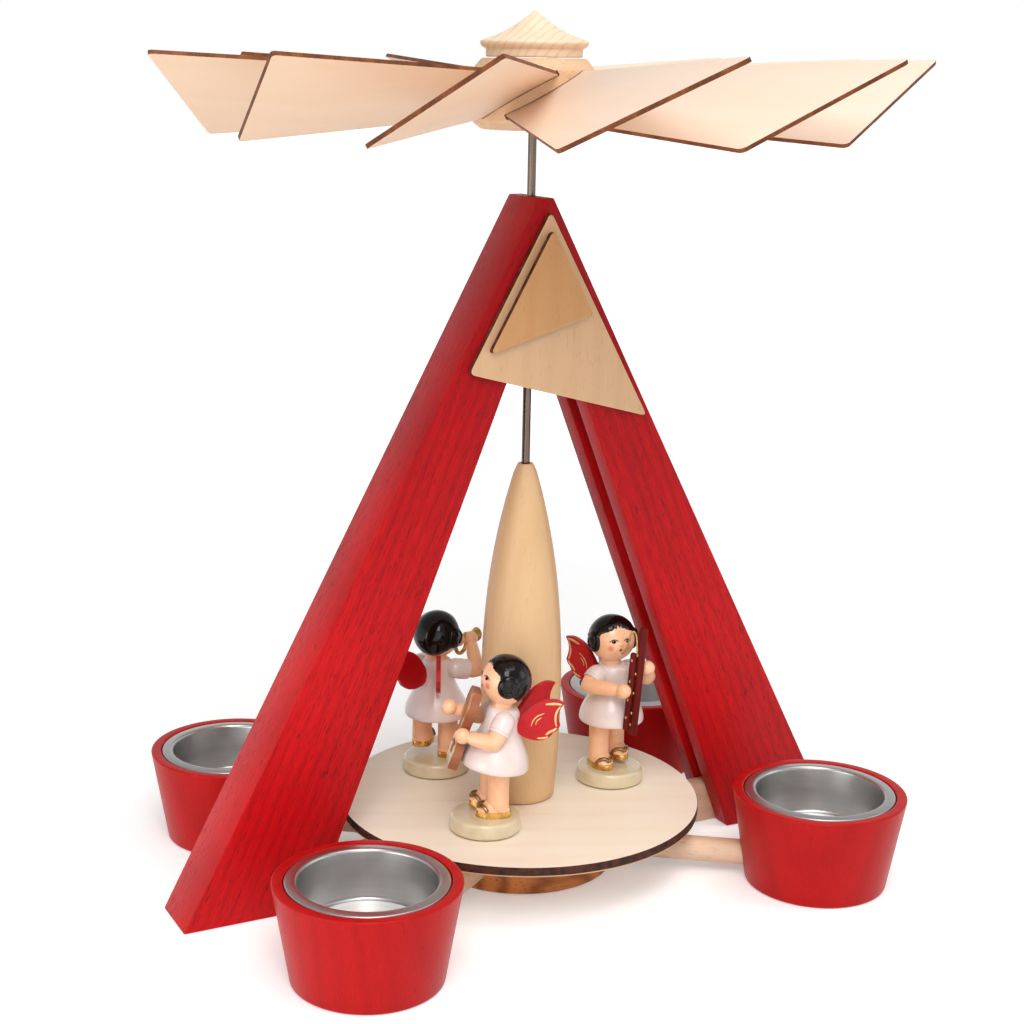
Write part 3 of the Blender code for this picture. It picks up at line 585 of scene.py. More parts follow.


# Finishes

# The red ash of the legs darkens towards their tops: painted shade, not a change in the stain.
RED_ASH = Wood(
    "red_stained_ash", (0.67, 0.0046, 0.0068), (0.34, 0.0017, 0.0045), (0.12, 0.001, 0.003),
    ring_spacing=0.0037, ring_share=0.24, tone_share=0.60, fibre_share=1.05, fibre_length=0.009,
    fibre_width=0.00045, pore_length=0.0030, pore_width=0.00034, pore_from=0.58, pore_to=0.72,
    pore_share=0.65, roughness=0.40, gloss=0.17, depth=0.00008, painted_shade_share=0.55,
)
TURNED_ASH = Wood(
    "red_turned_cup", (0.55, 0.0068, 0.0062), (0.345, 0.0030, 0.0042), (0.18, 0.002, 0.0035),
    grain=Grain.Z, ring_spacing=0.006, ring_share=0.18, tone_share=0.45, fibre_share=0.75,
    fibre_length=0.006, fibre_width=0.0004, pore_length=0.0025, pore_width=0.0003, pore_share=0.5,
    roughness=0.36, gloss=0.16, depth=0.00003,
)
BEECH = Wood(
    "natural_beech", (0.87, 0.65, 0.475), (0.70, 0.455, 0.29), (0.45, 0.245, 0.125),
    ring_spacing=0.005, ring_share=0.3, pore_length=0.003, pore_width=0.0003, pore_share=0.45, depth=0.00004,
)
HUB_WOOD = Wood(
    "oiled_hub_wood", (0.76, 0.28, 0.078), (0.28, 0.080, 0.018), (0.11, 0.029, 0.010),
    ring_spacing=0.0045, ring_share=0.75, ring_wander=11.0, roughness=0.48,
)
PALE_PLY = Wood(
    "pale_ply", (0.985, 0.905, 0.765), (0.945, 0.790, 0.600), (0.81, 0.61, 0.41),
    ring_spacing=0.0115, ring_share=0.26, ring_wander=9.0, ring_power=3.0,
    fibre_length=0.05, fibre_width=0.0007, pore_length=0.012, pore_width=0.0009, pore_from=0.66,
    pore_to=0.85, pore_share=0.25, roughness=0.46, gloss=0.5, depth=0.00003,
)
BLADE_PLY = Wood(
    "blade_ply", (0.82, 0.655, 0.535), (0.775, 0.585, 0.445), (0.68, 0.465, 0.32),
    ring_spacing=0.014, ring_share=0.18, ring_wander=14.0, tone_share=0.4, fibre_width=0.0006,
    pore_length=0.004, pore_from=0.64, pore_to=0.85, pore_share=0.25, gloss=0.3, depth=0.00003,
)
# The blades' lower faces: the same ply painted warmer and paler, as painted bounce light from the table and
# floor below.
BOUNCE_LIT_UNDER_PLY = replace(
    BLADE_PLY, name="blade_under_ply_painted_bounce_light", pale=(0.88, 0.66, 0.48), deep=(0.83, 0.58, 0.395),
    pore=(0.73, 0.455, 0.275),
)
GABLE_PLY = Wood(
    "gable_ply", (0.71, 0.465, 0.28), (0.605, 0.37, 0.193), (0.42, 0.23, 0.105),
    ring_spacing=0.008, ring_share=0.2, tone_share=0.3, fibre_width=0.0006, pore_length=0.003,
    pore_width=0.0004, pore_share=0.3, gloss=0.3, depth=0.00003,
)
PANEL_PLY = replace(
    GABLE_PLY, name="panel_ply", pale=(0.615, 0.337, 0.145), deep=(0.525, 0.263, 0.10),
    pore=(0.37, 0.177, 0.066),
)
SLEEVE_MAPLE = Wood(
    "turned_sleeve_maple", (0.77, 0.52, 0.285), (0.655, 0.40, 0.195), (0.50, 0.275, 0.12),
    grain=Grain.Z, ring_spacing=0.007, ring_share=0.3, tone_share=0.35, fibre_share=0.3,
    fibre_length=0.02, pore_share=0.2, roughness=0.42, depth=0.00003,
)
WHEEL_PINE = Wood(
    "turned_wheel_pine", (0.87, 0.70, 0.53), (0.75, 0.51, 0.29), (0.66, 0.39, 0.185),
    across=(-0.62, 0.50, 0.60), ring_spacing=0.0023, ring_share=0.55, ring_wander=13.0, ring_power=4.0,
    tone_share=0.35, fibre_length=0.004, pore_share=0.15, roughness=0.46, gloss=0.32, depth=0.00003,
)
WHEEL_MAPLE = Wood(
    "turned_wheel_maple", (0.77, 0.52, 0.33), (0.65, 0.39, 0.215), (0.44, 0.22, 0.10),
    ring_spacing=0.006, ring_share=0.25, tone_share=0.35, pore_length=0.0013, pore_width=0.0003,
    pore_from=0.55, pore_to=0.7, pore_share=0.45, roughness=0.48, gloss=0.32,
)
BURNT_PLY = BurntEdge("burnt_ply_edge", (0.105, 0.027, 0.008), (0.27, 0.078, 0.021), cell=0.006)
BURNT_BOARD = BurntEdge("burnt_board_edge", (0.045, 0.011, 0.006), (0.16, 0.045, 0.018))
BURNT_TABLE = BurntEdge("burnt_table_edge", (0.022, 0.008, 0.006), (0.095, 0.030, 0.014))
INSERT_STEEL = SpunSteel(
    "spun_insert_steel", (0.57, 0.565, 0.56), (0.40, 0.395, 0.39), roughness=0.33, ring_width=0.0006,
    streak_share=0.15, relief=0.000003,
)
# The insert's floor: the same spun steel, paler and less metallic than the wall, as painted light that keeps
# the floor bright down in the well.
INSERT_FLOOR_PAINTED_SHINE = SpunSteel(
    "spun_insert_floor_painted_shine", (0.99, 0.97, 0.94), (0.76, 0.745, 0.725), roughness=0.42, ring_width=0.0011,
    metal=0.4,
)
SHAFT_STEEL = SpunSteel(
    "drawn_shaft_steel", (0.19, 0.145, 0.115), (0.12, 0.09, 0.07), roughness=0.26, ring_width=0.02,
    streak_share=0.1, relief=0.000001,
)
WHITE_LACQUER = Lacquer("white_dress_lacquer", (0.835, 0.72, 0.68), (0.805, 0.685, 0.645), coat=0.5)
SKIN_LACQUER = Lacquer("skin_lacquer", (0.985, 0.565, 0.33), (0.95, 0.505, 0.28), coat=0.4)
BLACK_LACQUER = Lacquer(
    "black_hair_lacquer", (0.004, 0.0030, 0.0028), (0.006, 0.0048, 0.004), roughness=0.25, coat=0.42,
    coat_roughness=0.03, gloss=0.08,
)
EYE_LACQUER = Lacquer("eye_paint", (0.012, 0.008, 0.007), (0.02, 0.012, 0.01), coat=0.05, gloss=0.1)
# Near-white paint for the eye glints: a painted highlight.
EYE_GLINT_HIGHLIGHT = Lacquer("painted_eye_highlight", (0.80, 0.76, 0.72), (0.76, 0.72, 0.68), coat=0.4)
BROW_PAINT = Lacquer("brow_paint", (0.07, 0.025, 0.015), (0.10, 0.04, 0.02), coat=0.2)
MOUTH_PAINT = Lacquer("mouth_paint", (0.42, 0.015, 0.015), (0.36, 0.012, 0.012), coat=0.4)
WING_RED = Lacquer(
    "wing_red_lacquer", (0.56, 0.006, 0.011), (0.45, 0.005, 0.009), coat=0.15, coat_roughness=0.2, gloss=0.25
)
PLINTH_LACQUER = Lacquer(
    "plinth_lacquer", (0.705, 0.60, 0.395), (0.65, 0.55, 0.355), coat=1.0, coat_roughness=0.1
)
FIDDLE_BROWN = Wood(
    "fiddle_brown", (0.42, 0.135, 0.055), (0.24, 0.064, 0.026), (0.09, 0.022, 0.010), grain=Grain.Y,
    across=(1.0, 0.0, 0.0), ring_spacing=0.0022, fibre_length=0.004, roughness=0.38, coat=0.3,
    pore_length=0.002, pore_width=0.0003,
)
BASSOON_BROWN = Wood(
    "bassoon_brown", (0.17, 0.014, 0.010), (0.09, 0.006, 0.006), (0.04, 0.003, 0.003), grain=Grain.Z,
    ring_spacing=0.002, fibre_length=0.004, roughness=0.36, gloss=0.07, coat=0.04, pore_length=0.002,
    pore_width=0.0003,
)
GOLD_PAINT = Lacquer(
    "gold_paint", (0.64, 0.42, 0.13), (0.46, 0.27, 0.07), roughness=0.32, coat=0.3, coat_roughness=0.15,
    cell=0.0012, metal=0.85,
)
STRAP_GOLD = Lacquer(
    "strap_gold_paint", (0.36, 0.20, 0.07), (0.18, 0.09, 0.03), roughness=0.26, coat=0.5, coat_roughness=0.1,
    cell=0.001, metal=0.85,
)
SANDAL_GOLD = Lacquer(
    "sandal_gold_paint", (0.82, 0.50, 0.15), (0.62, 0.34, 0.08), roughness=0.26, coat=0.2,
    coat_roughness=0.1, cell=0.002, metal=1.0,
)
CREAM_GOLD = Lacquer(
    "cream_gold_trim", (0.80, 0.56, 0.24), (0.68, 0.43, 0.15), roughness=0.36, coat=0.3, coat_roughness=0.2,
    cell=0.0009, metal=0.35,
)


# Mesh making


def rounded(outline: Sequence[Point], radius: float, steps: int = 4, closed: bool = True) -> list[Point]:
    """Round the corners of an outline.

    Args:
        outline: corners in order.
        radius: how far from each corner its curve starts, limited by the sides.
        steps: points on each curve, less one.
        closed: whether the last corner joins the first; if not, both ends stay.

    Returns:
        The points of the rounded outline.
    """
    points: list[Point] = []
    count = len(outline)
    for i in range(count):
        corner = Vector(outline[i])
        if not closed and i in (0, count - 1):
            points.append(outline[i])
            continue
        before = Vector(outline[i - 1]) - corner
        after = Vector(outline[(i + 1) % count]) - corner
        reach = min(radius, before.length * CORNER_LIMIT, after.length * CORNER_LIMIT)
        start = corner + before.normalized() * reach
        end = corner + after.normalized() * reach
        for k in range(steps + 1):
            share = k / steps
            spot = start * (1 - share) ** 2 + corner * (2 * share * (1 - share)) + end * share**2
            points.append((spot.x, spot.y))
    return points


def smooth_line(points: Sequence[Sequence[float]], steps: int = 6) -> list[Vector]:
    """Run a smooth line through points.

    Args:
        points: that the line passes.
        steps: between each two of them.

    Returns:
        The points of the line.
    """
    spots = [Vector(p) for p in points]
    line: list[Vector] = []
    for i in range(len(spots) - 1):
        before, after = spots[max(i - 1, 0)], spots[min(i + 2, len(spots) - 1)]
        start, end = spots[i], spots[i + 1]
        for k in range(steps):
            share = k / steps
            spot = start * 2 + (end - before) * share
            spot += (before * 2 - start * 5 + end * 4 - after) * share**2
            spot += (start * 3 - before - end * 3 + after) * share**3
            line.append(spot / 2)
    line.append(spots[-1])
    return line


class Cage:
    """A mesh in the making, from turned, sawn, bent and rounded shapes."""

    ball_columns: int = 28
    ball_rows: int = 18

    def __init__(self) -> None:
        """Start empty."""
        self.mesh = bmesh.new()

    def _move(self, verts: Iterable[bmesh.types.BMVert], matrix: Optional[Matrix]) -> None:
        """Carry new points to their place."""
        if matrix is not None:
            bmesh.ops.transform(self.mesh, matrix=matrix, verts=list(verts))

    def _bridge(self, first: Ring, second: Ring, material: int, closed: bool = True) -> None:
        """Join two rings of points with faces.

        Args:
            first: points of one ring, or a single point.
            second: points of the other ring, or a single point.
            material: finish number of the faces.
            closed: whether the last points join the first.
        """
        count = max(len(first), len(second))
        for k in range(count if closed else count - 1):
            corners = []
            for ring, index in ((first, k), (first, k + 1), (second, k + 1), (second, k)):
                vert = ring[index % len(ring)]
                if vert not in corners:
                    corners.append(vert)
            self.mesh.faces.new(corners).material_index = material

    def lathe(
        self, profile: Sequence[Point], steps: int, matrix: Optional[Matrix] = None,
        bands: Optional[Sequence[int]] = None, ring: bool = False,
    ) -> None:
        """Turn a profile about Z.

        Args:
            profile: (radius, height) points; a radius of 0 is a single point.
            steps: facets round the axis.
            matrix: where the turned shape goes.
            bands: finish number of each stretch of the profile.
            ring: whether the last point joins the first.
        """
        rings = []
        for radius, height in profile:
            turns = steps if radius > 0 else 1
            angles = [2 * pi * k / steps for k in range(turns)]
            rings.append(
                [self.mesh.verts.new((radius * cos(a), radius * sin(a), height)) for a in angles]
            )
        last = len(rings) if ring else len(rings) - 1
        for i in range(last):
            self._bridge(rings[i], rings[(i + 1) % len(rings)], bands[i] if bands else 0)
        self._move([vert for one in rings for vert in one], matrix)

    def slab(
        self, outline: Sequence[Point], thickness: float, edge: float, matrix: Optional[Matrix] = None,
        rim: int = 0, under: int = 0,
    ) -> None:
        """Saw an outline in X and Y from a board that is centred on Z.

        Args:
            outline: corners in order.
            thickness: of the board.
            edge: width of the eased edges.
            matrix: where the slab goes.
            rim: finish number of the sawn edges.
            under: finish number of the lower face.
        """
        half = thickness / 2
        upper = [self.mesh.verts.new((x, y, half)) for x, y in outline]
        lower = [self.mesh.verts.new((x, y, -half)) for x, y in outline]
        self.mesh.faces.new(upper)
        self.mesh.faces.new(list(reversed(lower))).material_index = under
        self._bridge(upper, lower, rim)
        verts = upper + lower
        if edge > 0:
            edges = []
            for ring in (upper, lower):
                for k, vert in enumerate(ring):
                    edges.append(self.mesh.edges.get((vert, ring[(k + 1) % len(ring)])))
            made = bmesh.ops.bevel(
                self.mesh, geom=edges, offset=edge, segments=2, profile=0.5, affect="EDGES",
                clamp_overlap=True, material=rim,
            )
            verts = {vert for face in made["faces"] for vert in face.verts}
            verts |= {vert for vert in upper + lower if vert.is_valid}
        self._move(verts, matrix)

    def sweep(
        self, points: Sequence[Sequence[float]], radii: Sequence[float], sides: int,
        matrix: Optional[Matrix] = None,
    ) -> None:
        """Run a round bar along points with mitred bends, closed at both ends.

        Args:
            points: middle of the bar.
            radii: its radius at each point; 0 closes it in a point.
            sides: facets round it.
            matrix: where the bar goes.
        """
        spots = [Vector(p) for p in points]
        steps = [(b - a).normalized() for a, b in zip(spots, spots[1:])]
        across = steps[0].orthogonal().normalized()
        if abs(steps[0].z) < NEARLY_UPRIGHT:
            across = steps[0].cross(Vector((0, 0, 1))).normalized()
        rings = []
        for i, spot in enumerate(spots):
            before = steps[max(i - 1, 0)]
            after = steps[min(i, len(steps) - 1)]
            if i > 0:
                turn = steps[max(i - 2, 0)].rotation_difference(before)
                across = (turn @ across).normalized() if i > 1 else across
            up = before.cross(across).normalized()
            mitre = (before + after).normalized()
            ring = []
            for k in range(sides if radii[i] > 0 else 1):
                angle = 2 * pi * k / sides
                step = (across * cos(angle) + up * sin(angle)) * radii[i]
                step -= before * (step.dot(mitre) / before.dot(mitre))
                ring.append(self.mesh.verts.new(spot + step))
            rings.append(ring)
        for first, second in zip(rings, rings[1:]):
            self._bridge(first, second, 0)
        for ring in (rings[0], rings[-1]):
            if len(ring) > 1:
                self.mesh.faces.new(ring)
        self._move([vert for one in rings for vert in one], matrix)

    def ball(self, centre: Sequence[float], radii: Sequence[float], matrix: Optional[Matrix] = None) -> None:
        """Add an egg-shaped body.

        Args:
            centre: its middle.
            radii: half its size along X, Y and Z.
            matrix: a further move.
        """
        place = Matrix.Translation(centre) @ Matrix.Diagonal((*radii, 1.0))
        if matrix is not None:
            place = matrix @ place
        bmesh.ops.create_uvsphere(
            self.mesh, u_segments=self.ball_columns, v_segments=self.ball_rows, radius=1.0, matrix=place
        )

    def grid(self, rows: Sequence[Sequence[Vector]], around: bool) -> None:
        """Add a skin over rows of points.

        Args:
            rows: rows of the same length, of which a row may be a single point.
            around: whether each row closes on itself.
        """
        rings = [[self.mesh.verts.new(spot) for spot in row] for row in rows]
        for first, second in zip(rings, rings[1:]):
            self._bridge(first, second, 0, around)

    def piece(self, name: str, finishes: Sequence[Finish], sharp: float = SHARP_ANGLE) -> bpy.types.Object:
        """Turn the cage into an object.

        Args:
            name: of the object.
            finishes: by the finish numbers that its faces hold.
            sharp: angle in degrees above which an edge stays sharp.

        Returns:
            The object, at the origin.
        """
        bmesh.ops.recalc_face_normals(self.mesh, faces=self.mesh.faces)
        mesh = bpy.data.meshes.new(name)
        self.mesh.to_mesh(mesh)
        self.mesh.free()
        for finish in finishes:
            mesh.materials.append(finish.material())
        mesh.shade_smooth()
        mesh.set_sharp_from_angle(angle=radians(sharp))
        made = bpy.data.objects.new(name, mesh)
        bpy.context.scene.collection.objects.link(made)
        return made


def fit(
    piece: bpy.types.Object, body: Union[Body, str], matrix: Optional[Matrix] = None,
    replaces: Sequence[str] = (),
) -> None:
    """Put a piece in place and let it ride on its body.

    Args:
        piece: the object.
        body: the body that carries it.
        matrix: its place.
        replaces: nodes that it stands for.
    """
    if matrix is not None:
        piece.matrix_world = matrix
    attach(piece, body.value if isinstance(body, Body) else body)
    if replaces:
        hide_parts(*replaces)


def axes(x: Sequence[float], z: Sequence[float], origin: Sequence[float]) -> Matrix:
    """Set up a piece's own axes.

    Args:
        x: direction of its X axis.
        z: direction of its Z axis.
        origin: where they meet.

    Returns:
        The matrix.
    """
    ahead, up = Vector(x).normalized(), Vector(z).normalized()
    side = up.cross(ahead)
    matrix = Matrix((ahead, side, up)).transposed().to_4x4()
    matrix.translation = origin
    return matrix


# Sub-assemblies


@dataclass
class AFrame:
    """The two red legs, the gable boards on their heads and the crossbar between their feet."""

    height: float = 0.2132
    apex: float = 0.189
    foot_inner: float = 0.07554
    foot_outer: float = 0.11684
    head: float = 0.0024
    seam: float = 0.00003
    thickness: float = 0.020
    groove_width: float = 0.0062
    groove_depth: float = 0.005
    edge: float = 0.00055
    edge_profile: float = 0.6
    leg_sharp: float = 50.0
    board: float = 0.0018
    board_gap: float = 0.0003
    board_round: float = 0.0016
    board_edge: float = 0.0002
    plate: tuple[Point, ...] = ((0.0003, 0.2094), (-0.0260, 0.1624), (0.0360, 0.1455))
    panel: tuple[Point, ...] = ((0.0001, 0.2042), (-0.0201, 0.1683), (0.0147, 0.1783))
    bar_height: float = 0.014
    bar_thickness: float = 0.0056
    bar_lap: float = 0.007
    bar_lap_reach: float = 0.0313
    bar_edge: float = 0.0004

    def build(self) -> None:
        """Make every piece."""
        self.build_leg("left_leg", -1)
        self.build_leg("right_leg", 1)
        self.build_boards()
        self.build_crossbar()

    def leg_corners(self) -> dict[str, Point]:
        """Find the corners of a leg, seen from the front.

        Returns:
            Distance from the middle and height of each corner, by its name.
        """
        slope = self.foot_inner / self.apex
        inset = self.groove_depth * hypot(1.0, slope)
        return {
            "top": (self.seam, self.height),
            "shoulder": (self.head, self.height),
            "toe": (self.foot_outer, 0.0),
            "heel": (self.foot_inner, 0.0),
            "crotch": (self.seam, self.apex - self.seam / slope),
            "heel_groove": (self.foot_inner + inset, 0.0),
            "crotch_groove": (self.seam, self.apex + (inset - self.seam) / slope),
        }

    def leg_faces(self) -> list[list[tuple[str, float]]]:
        """List the faces of a leg as they are before its edges are eased.

        Returns:
            The corners of each face, as a name and a depth.
        """
        half, lip = self.thickness / 2, self.groove_width / 2
        rim = ("top", "shoulder", "toe", "heel", "crotch")
        faces = [[(key, depth) for key in rim] for depth in (-half, half)]
        for a, b in (("top", "shoulder"), ("shoulder", "toe")):
            faces.append([(a, -half), (b, -half), (b, half), (a, half)])
        for end, start in (("heel", "toe"), ("crotch", "top")):
            notch = end + "_groove"
            near = [(start, -half), (end, -half), (end, -lip), (notch, -lip)]
            faces.append(near + [(notch, lip), (end, lip), (end, half), (start, half)])
        low, high = "heel_groove", "crotch_groove"
        for sign in (-1, 1):
            skin, wall = sign * half, sign * lip
            faces.append([("heel", skin), ("crotch", skin), ("crotch", wall), ("heel", wall)])
            faces.append([("heel", wall), ("crotch", wall), (high, wall), (low, wall)])
        faces.append([(low, -lip), (high, -lip), (high, lip), (low, lip)])
        return faces

    def build_leg(self, name: str, sign: int) -> None:
        """Saw one tapered leg with its groove and its eased edges.

        Args:
            name: of the leg's node.
            sign: of X on the leg's side.
        """
        corners, faces = self.leg_corners(), self.leg_faces()
        middle = Vector((sign * (self.foot_inner + self.foot_outer) / 2, 0.0, 0.0))
        cage = Cage()
        made = {}
        for key, depth in dict.fromkeys(spot for face in faces for spot in face):
            x, z = corners[key]
            made[key, depth] = cage.mesh.verts.new(Vector((sign * x, depth, z)) - middle)
        for face in faces:
            cage.mesh.faces.new([made[spot] for spot in face])
        bmesh.ops.recalc_face_normals(cage.mesh, faces=cage.mesh.faces)
        limit = self.seam * 2
        edges = [edge for edge in cage.mesh.edges if any(abs(v.co.x + middle.x) > limit for v in edge.verts)]
        bmesh.ops.bevel(
            cage.mesh, geom=edges, offset=self.edge, segments=2, profile=self.edge_profile, affect="EDGES",
            clamp_overlap=True,
        )
        along = Vector((sign * self.head / 2, 0.0, self.height)) - middle
        grain = axes(along, (0, -1, 0), middle)
        # The turn lays the grain along the leg, so the painted shade darkens each leg towards its top.
        stain = replace(RED_ASH, name=name + "_ash", turn=tuple(grain.to_3x3().inverted().to_euler()))
        leg = cage.piece(name + "_look", [stain], self.leg_sharp)
        fit(leg, Body.FRAME, Matrix.Translation(middle), [name])

    def build_boards(self) -> None:
        """Saw the two stepped boards on the front of the frame."""
        front = -(self.thickness / 2 + self.board_gap + self.board / 2)
        boards = (("gable_plate", self.plate, GABLE_PLY), ("gable_panel", self.panel, PANEL_PLY))
        for index, (name, corners, ply) in enumerate(boards):
            matrix = axes((0, 0, 1), (0, -1, 0), (0, front - index * (self.board + self.board_gap), 0))
            outline = rounded([(z, -x) for x, z in corners], self.board_round)
            cage = Cage()
            cage.slab(outline, self.board, self.board_edge, rim=1)
            fit(cage.piece(name + "_look", [ply, BURNT_BOARD]), Body.FRAME, matrix, [name])

    def build_crossbar(self) -> None:
        """Saw the flat bar between the feet, halved where it crosses the hub."""
        slope = self.foot_inner / self.apex
        reach = self.foot_inner + (self.groove_depth - self.board_gap) * hypot(1.0, slope)
        half = [
            (reach, 0.0), (reach - slope * self.bar_height, self.bar_height),
            (self.bar_lap_reach, self.bar_height), (self.bar_lap_reach, self.bar_lap),
        ]
        outline = half + [(-x, z) for x, z in reversed(half)]
        cage = Cage()
        cage.slab(outline, self.bar_thickness, self.bar_edge)
        matrix = Matrix.Rotation(pi / 2, 4, "X")
        fit(cage.piece("crossbar_look", [BEECH]), Body.FRAME, matrix, ["crossbar"])


@dataclass
class CandleBase:
    """The turned hub, its four arms, and the red cups with their steel inserts."""

    gap: float = 0.0003
    hub_radius: float = 0.031
    hub_height: float = 0.0165
    hub_edge: float = 0.0012
    slot_width: float = 0.0062
    slot_height: float = 0.0073
    bearing_radius: float = 0.0047
    bearing_bottom: float = 0.0105
    bearing_seat: tuple[Point, ...] = ((0.0, 0.013), (0.0008, 0.013), (0.0021, 0.0165))
    bearing_edge: float = 0.0003
    arm_radius: float = 0.004
    arm_height: float = 0.0071
    arm_start: float = 0.019
    arm_end: float = 0.0825
    arm_edge: float = 0.0006
    cup_circle: float = 0.0958
    cup_angle: float = radians(35.9)
    cup_height: float = 0.030
    cup_rim: float = 0.02715
    cup_foot: float = 0.0221
    cup_edge: float = 0.0007
    cup_foot_edge: float = 0.0009
    well: tuple[Point, ...] = ((0.0, 0.0139), (0.0196, 0.0139), (0.0211, 0.0285))
    well_rim: Point = (0.0238, 0.0285)
    insert_inside: tuple[Point, ...] = ((0.0, 0.015), (0.0185, 0.015), (0.020, 0.0302), (0.0235, 0.0299))
    insert_outside: tuple[Point, ...] = ((0.0235, 0.0288), (0.0208, 0.0288), (0.0193, 0.0142), (0.0, 0.0142))
    insert_edge: float = 0.0011

    def build(self) -> None:
        """Make every piece."""
        self.build_hub()
        self.build_bearing()
        for corner in Corner:
            self.build_corner(corner)

    def build_hub(self) -> None:
        """Turn the hub with its pocket, and cut the slot for the crossbar."""
        pocket, top = self.bearing_radius + self.gap, self.hub_height
        outside = [(pocket, top), (self.hub_radius, top), (self.hub_radius, 0.0), (0.0, 0.0)]
        inside = [(0.0, self.bearing_bottom), (pocket, self.bearing_bottom)]
        cage = Cage()
        cage.lathe(inside + rounded(outside, self.hub_edge, closed=False), Sides.HUB)
        hub = cage.piece("base_hub_look", [HUB_WOOD])
        cutter = Cage()
        reach = self.hub_radius * 2
        corners = [(-reach, -self.slot_width / 2), (reach, -self.slot_width / 2)]
        corners += [(x, -y) for x, y in reversed(corners)]
        cutter.slab(corners, 2 * self.slot_height, 0.0)
        carve(hub, cutter.piece("hub_slot_cutter", [HUB_WOOD]))
        fit(hub, Body.FRAME, None, ["base_hub"])

    def build_bearing(self) -> None:
        """Turn the steel bearing in the hub's pocket."""
        radius, low = self.bearing_radius, self.bearing_bottom
        profile = [*self.bearing_seat, (radius, self.hub_height), (radius, low), (0.0, low)]
        cage = Cage()
        cage.lathe(rounded(profile, self.bearing_edge, steps=3, closed=False), Sides.HORN)
        fit(cage.piece("thrust_bearing_look", [SHAFT_STEEL]), Body.FRAME, None, ["thrust_bearing"])

    def build_corner(self, corner: Corner) -> None:
        """Make an arm, its cup and the steel insert.

        Args:
            corner: where they stand.
        """
        x = corner.value[0] * self.cup_circle * cos(self.cup_angle)
        y = corner.value[1] * self.cup_circle * sin(self.cup_angle)
        outward = Vector((x, y, 0.0)).normalized()
        self.build_arm("candle_arm_" + corner.label, axes(outward, (0, 0, 1), (0, 0, self.arm_height)))
        place = axes(outward, (0, 0, 1), (x, y, 0.0))
        self.build_cup("candle_cup_" + corner.label, place)
        self.build_insert("tealight_insert_" + corner.label, place)

    def build_arm(self, node: str, matrix: Matrix) -> None:
        """Turn one arm with its eased ends.

        Args:
            node: that it stands for.
            matrix: its place, with the arm along X.
        """
        start, end, slim = self.arm_start, self.arm_end, self.arm_radius - self.arm_edge
        steps = (start, start + self.arm_edge, end - self.arm_edge, end)
        arm = Cage()
        arm.sweep([(x, 0, 0) for x in steps], [slim, self.arm_radius, self.arm_radius, slim], Sides.ARM)
        fit(arm.piece(node + "_look", [BEECH]), Body.FRAME, matrix, [node])

    def build_cup(self, node: str, matrix: Matrix) -> None:
        """Turn one cup with the well for its insert.

        Args:
            node: that it stands for.
            matrix: its place.
        """
        top = self.cup_height
        middle = ((self.cup_rim + self.cup_foot) / 2, top / 2)
        rim = [self.well_rim, (self.well_rim[0], top), (self.cup_rim, top), middle]
        wall = rounded(rim, self.cup_edge, steps=5, closed=False)
        foot = [middle, (self.cup_foot, 0.0), (0.0, 0.0)]
        wall += rounded(foot, self.cup_foot_edge, steps=5, closed=False)[1:]
        cup = Cage()
        cup.lathe([*self.well, *wall], Sides.HUB)
        fit(cup.piece(node + "_look", [TURNED_ASH]), Body.FRAME, matrix, [node])

    def build_insert(self, node: str, matrix: Matrix) -> None:
        """Spin one steel insert with its flange, which rides on a body of its own.

        Args:
            node: that it stands for, which also names its body.
            matrix: its place.
        """
        spun = rounded(self.insert_inside + self.insert_outside, self.insert_edge, steps=5, closed=False)
        insert = Cage()
        # The floor band takes the paler copy of the steel, which is painted light; the rest takes the plain
        # steel.
        insert.lathe(spun, Sides.HUB, bands=[1] + [0] * (len(spun) - 2))
        fit(insert.piece(node + "_look", [INSERT_STEEL, INSERT_FLOOR_PAINTED_SHINE]), node, matrix, [node])


def carve(piece: bpy.types.Object, cutter: bpy.types.Object) -> None:
    """Cut one piece out of another and discard the cutter.

    Args:
        piece: that is cut.
        cutter: the shape that is taken away.
    """
    step = piece.modifiers.new("carve", "BOOLEAN")
    step.operation = "DIFFERENCE"
    step.solver = "EXACT"
    step.use_self = True
    step.object = cutter
    bpy.context.view_layer.update()
    graph = bpy.context.evaluated_depsgraph_get()
    carved = bpy.data.meshes.new_from_object(piece.evaluated_get(graph))
    piece.modifiers.clear()
    piece.data = carved
    carved.shade_smooth()
    carved.set_sharp_from_angle(angle=radians(SHARP_ANGLE))
    bpy.data.objects.remove(cutter)


